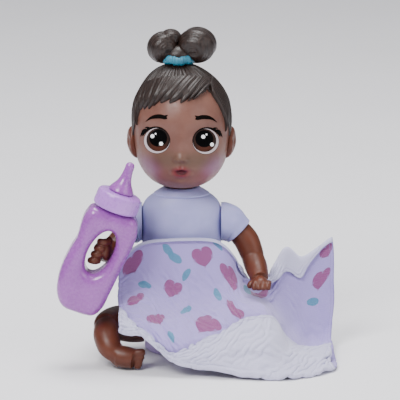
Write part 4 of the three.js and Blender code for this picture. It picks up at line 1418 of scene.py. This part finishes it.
# ------------------------------------------------------------------ pieces kept from the frame
def dress_inner_nodes():
    """Materials for the fastenings and the electronics, which keep the frame's own shapes."""
    metal = metal_material()
    black = plastic_material("inner_black", rgb(26, 27, 30), rgb(38, 39, 43), 0.45)
    board = plastic_material("inner_board", rgb(24, 84, 48), rgb(34, 104, 60), 0.4, coat=0.3)
    white = plastic_material("inner_white", rgb(196, 196, 190), rgb(212, 212, 206), 0.5)
    knob = plastic_material("switch_knob", rgb(150, 126, 188), rgb(164, 140, 200), 0.4)
    neck = skin_material()
    screws = [f"case_screw_{i}" for i in range(1, 5)]
    cells = [f"button_cell_{i}" for i in range(1, 4)]
    pegs = [f"{joint}_peg_{side}" for joint in ("shoulder", "hip") for side in ("left", "right")]
    groups = (
        (metal, "plated_metal", [*screws, *cells, "battery_door_screw", "spring_contact", "plate_contact",
                                 "tilt_switch", "speaker", "bottle_magnet", "switch_base"]),
        (black, "black_plastic", ["battery_box", "control_chip", "speaker_retainer", "mouth_switch"]),
        (board, "board_green", ["circuit_board"]),
        (white, "inner_plastic", ["neck_retainer", *pegs]),
        (knob, "pants_lilac", ["power_switch_knob"]),
        (neck, "skin_brown", ["neck_post"]),
    )
    for paint, slot_name, names in groups:
        for name in names:
            paint.on(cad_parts[name])


# ------------------------------------------------------------------ stage
def build_stage():
    """A plain pale floor, even sky light and three soft lamps."""
    half = 1500
    floor = make_mesh("floor", [(-half, -half, 0), (half, -half, 0), (half, half, 0), (-half, half, 0)],
                      [(0, 1, 2, 3)], smooth=False)
    paint = Shader("stage_floor", 0.6)
    paint.colour(paint.mix(paint.noise(0.01, 2), rgb(236, 235, 238), rgb(243, 242, 245)))
    paint.on(floor)
    world = bpy.data.worlds.new("studio")
    world.use_nodes = True
    sky = world.node_tree.nodes["Background"]
    sky.inputs[0].default_value = (0.93, 0.94, 1.0, 1)
    sky.inputs[1].default_value = 0.42
    bpy.context.scene.world = world
    for name, place, size, power in (
        ("key", (-0.45, -0.75, 0.85), 0.5, 15.0),
        ("fill", (0.8, -0.6, 0.5), 0.7, 4.0),
        ("top", (0.03, 0.1, 0.95), 0.5, 11.0),
    ):
        light = bpy.data.lights.new(name, "AREA")
        light.size = size
        light.energy = power
        lamp = placed(name, light)
        lamp.location = place
        lamp.rotation_euler = (Vector((0, 0, 0.07)) - Vector(place)).to_track_quat("-Z", "Y").to_euler()
    return floor


def build_camera():
    """A long lens from the front, a little above level, that frames 152 mm."""
    target = Vector((0.007, 0, 0.0585))
    distance = 1.5
    width = 0.152
    camera = bpy.data.cameras.new("camera")
    camera.lens = 36 * distance / width
    eye = placed("camera", camera)
    eye.location = target + distance * Vector((0, -math.cos(VIEW_TILT), math.sin(VIEW_TILT)))
    eye.rotation_euler = (math.pi / 2 - VIEW_TILT, 0, 0)
    bpy.context.scene.camera = eye


# ------------------------------------------------------------------ run
face_paint = face_material()
skin_paint = skin_material()
hair_paint = hair_material()
shirt_paint = shirt_material()
pants_paint = plastic_material("doll_pants", rgb(176, 156, 206), rgb(188, 168, 218), 0.5)
band_paint = plastic_material("doll_band", rgb(14, 80, 102), rgb(34, 112, 136), 0.5)
bottle_paint = plastic_material("bottle_gloss", rgb(135, 67, 151), rgb(144, 76, 160), 0.26, coat=0.35)
cap_paint = plastic_material("bottle_cap_gloss", rgb(158, 100, 190), rgb(172, 114, 202), 0.3, coat=0.3)

head_skin, ears = build_head()
dress(head_skin, face_paint, "head", "skin_brown", "head_shell", "mouth_insert")
for ear in ears:
    dress(ear, skin_paint, "head", "skin_brown")
face_tree = head_tree(head_skin)
build_eyes(face_tree)
crown, fringe, bun_big, bun_small = build_hair(face_tree)
dress(crown, hair_paint, "head", "hair_dark", "hair_cap")
dress(fringe, hair_paint, "head", "hair_dark")
dress(bun_big, hair_paint, "head", "hair_dark", "bun_left")
dress(bun_small, hair_paint, "head", "hair_dark", "bun_right")
dress(build_tie(), band_paint, "head", "tie_teal", "hair_tie")

shirt_front, shirt_back, door_panel = build_shirt()
dress(shirt_front, shirt_paint, "torso", "shirt_white", "torso_front_shell")
dress(shirt_back, shirt_paint, "torso", "shirt_white", "torso_back_shell")
dress(door_panel, shirt_paint, "battery_cover", "shirt_white", "battery_door")
seat = build_seat()
dress(seat, pants_paint, "torso", "pants_lilac", "seat_shell")
for label, side, hem, facing in (("left", 1, (21.7, -0.4, 46.4), (0.71, -0.02, -0.71)),
                                 ("right", -1, (-21.2, -2.2, 46.0), (-0.6, -0.4, -0.7))):
    sleeve = build_sleeve(f"sleeve_cap_{label}", side, hem, facing)
    dress(sleeve, shirt_paint, f"arm_{label}_body", "shirt_white", f"sleeve_{label}")
arms = {"left": build_arm_left(), "right": build_arm_right()}
legs = {"left": build_leg("leg_skin_left", 1, 12.9), "right": build_leg("leg_skin_right", -1, 15.9)}
for part, limbs in (("arm", arms), ("leg", legs)):
    for label, piece in limbs.items():
        dress(piece, skin_paint, f"{part}_{label}_body", "skin_brown", f"{part}_{label}")

dress(build_bottle_body(), bottle_paint, "bottle", "bottle_purple", "bottle_body")
cap, teat = build_bottle_top()
dress(cap, cap_paint, "bottle", "bottle_purple", "bottle_collar")
dress(teat, bottle_paint, "bottle", "bottle_purple", "bottle_nipple")

blanket_cloth = build_blanket()
floor = build_stage()
settle(blanket_cloth, [shirt_front, seat, *legs.values(), *arms.values(), floor])
give_two_faces(blanket_cloth)
dress(blanket_cloth, None, "cover_blanket", "blanket_print", "blanket")
dress_inner_nodes()
build_camera()
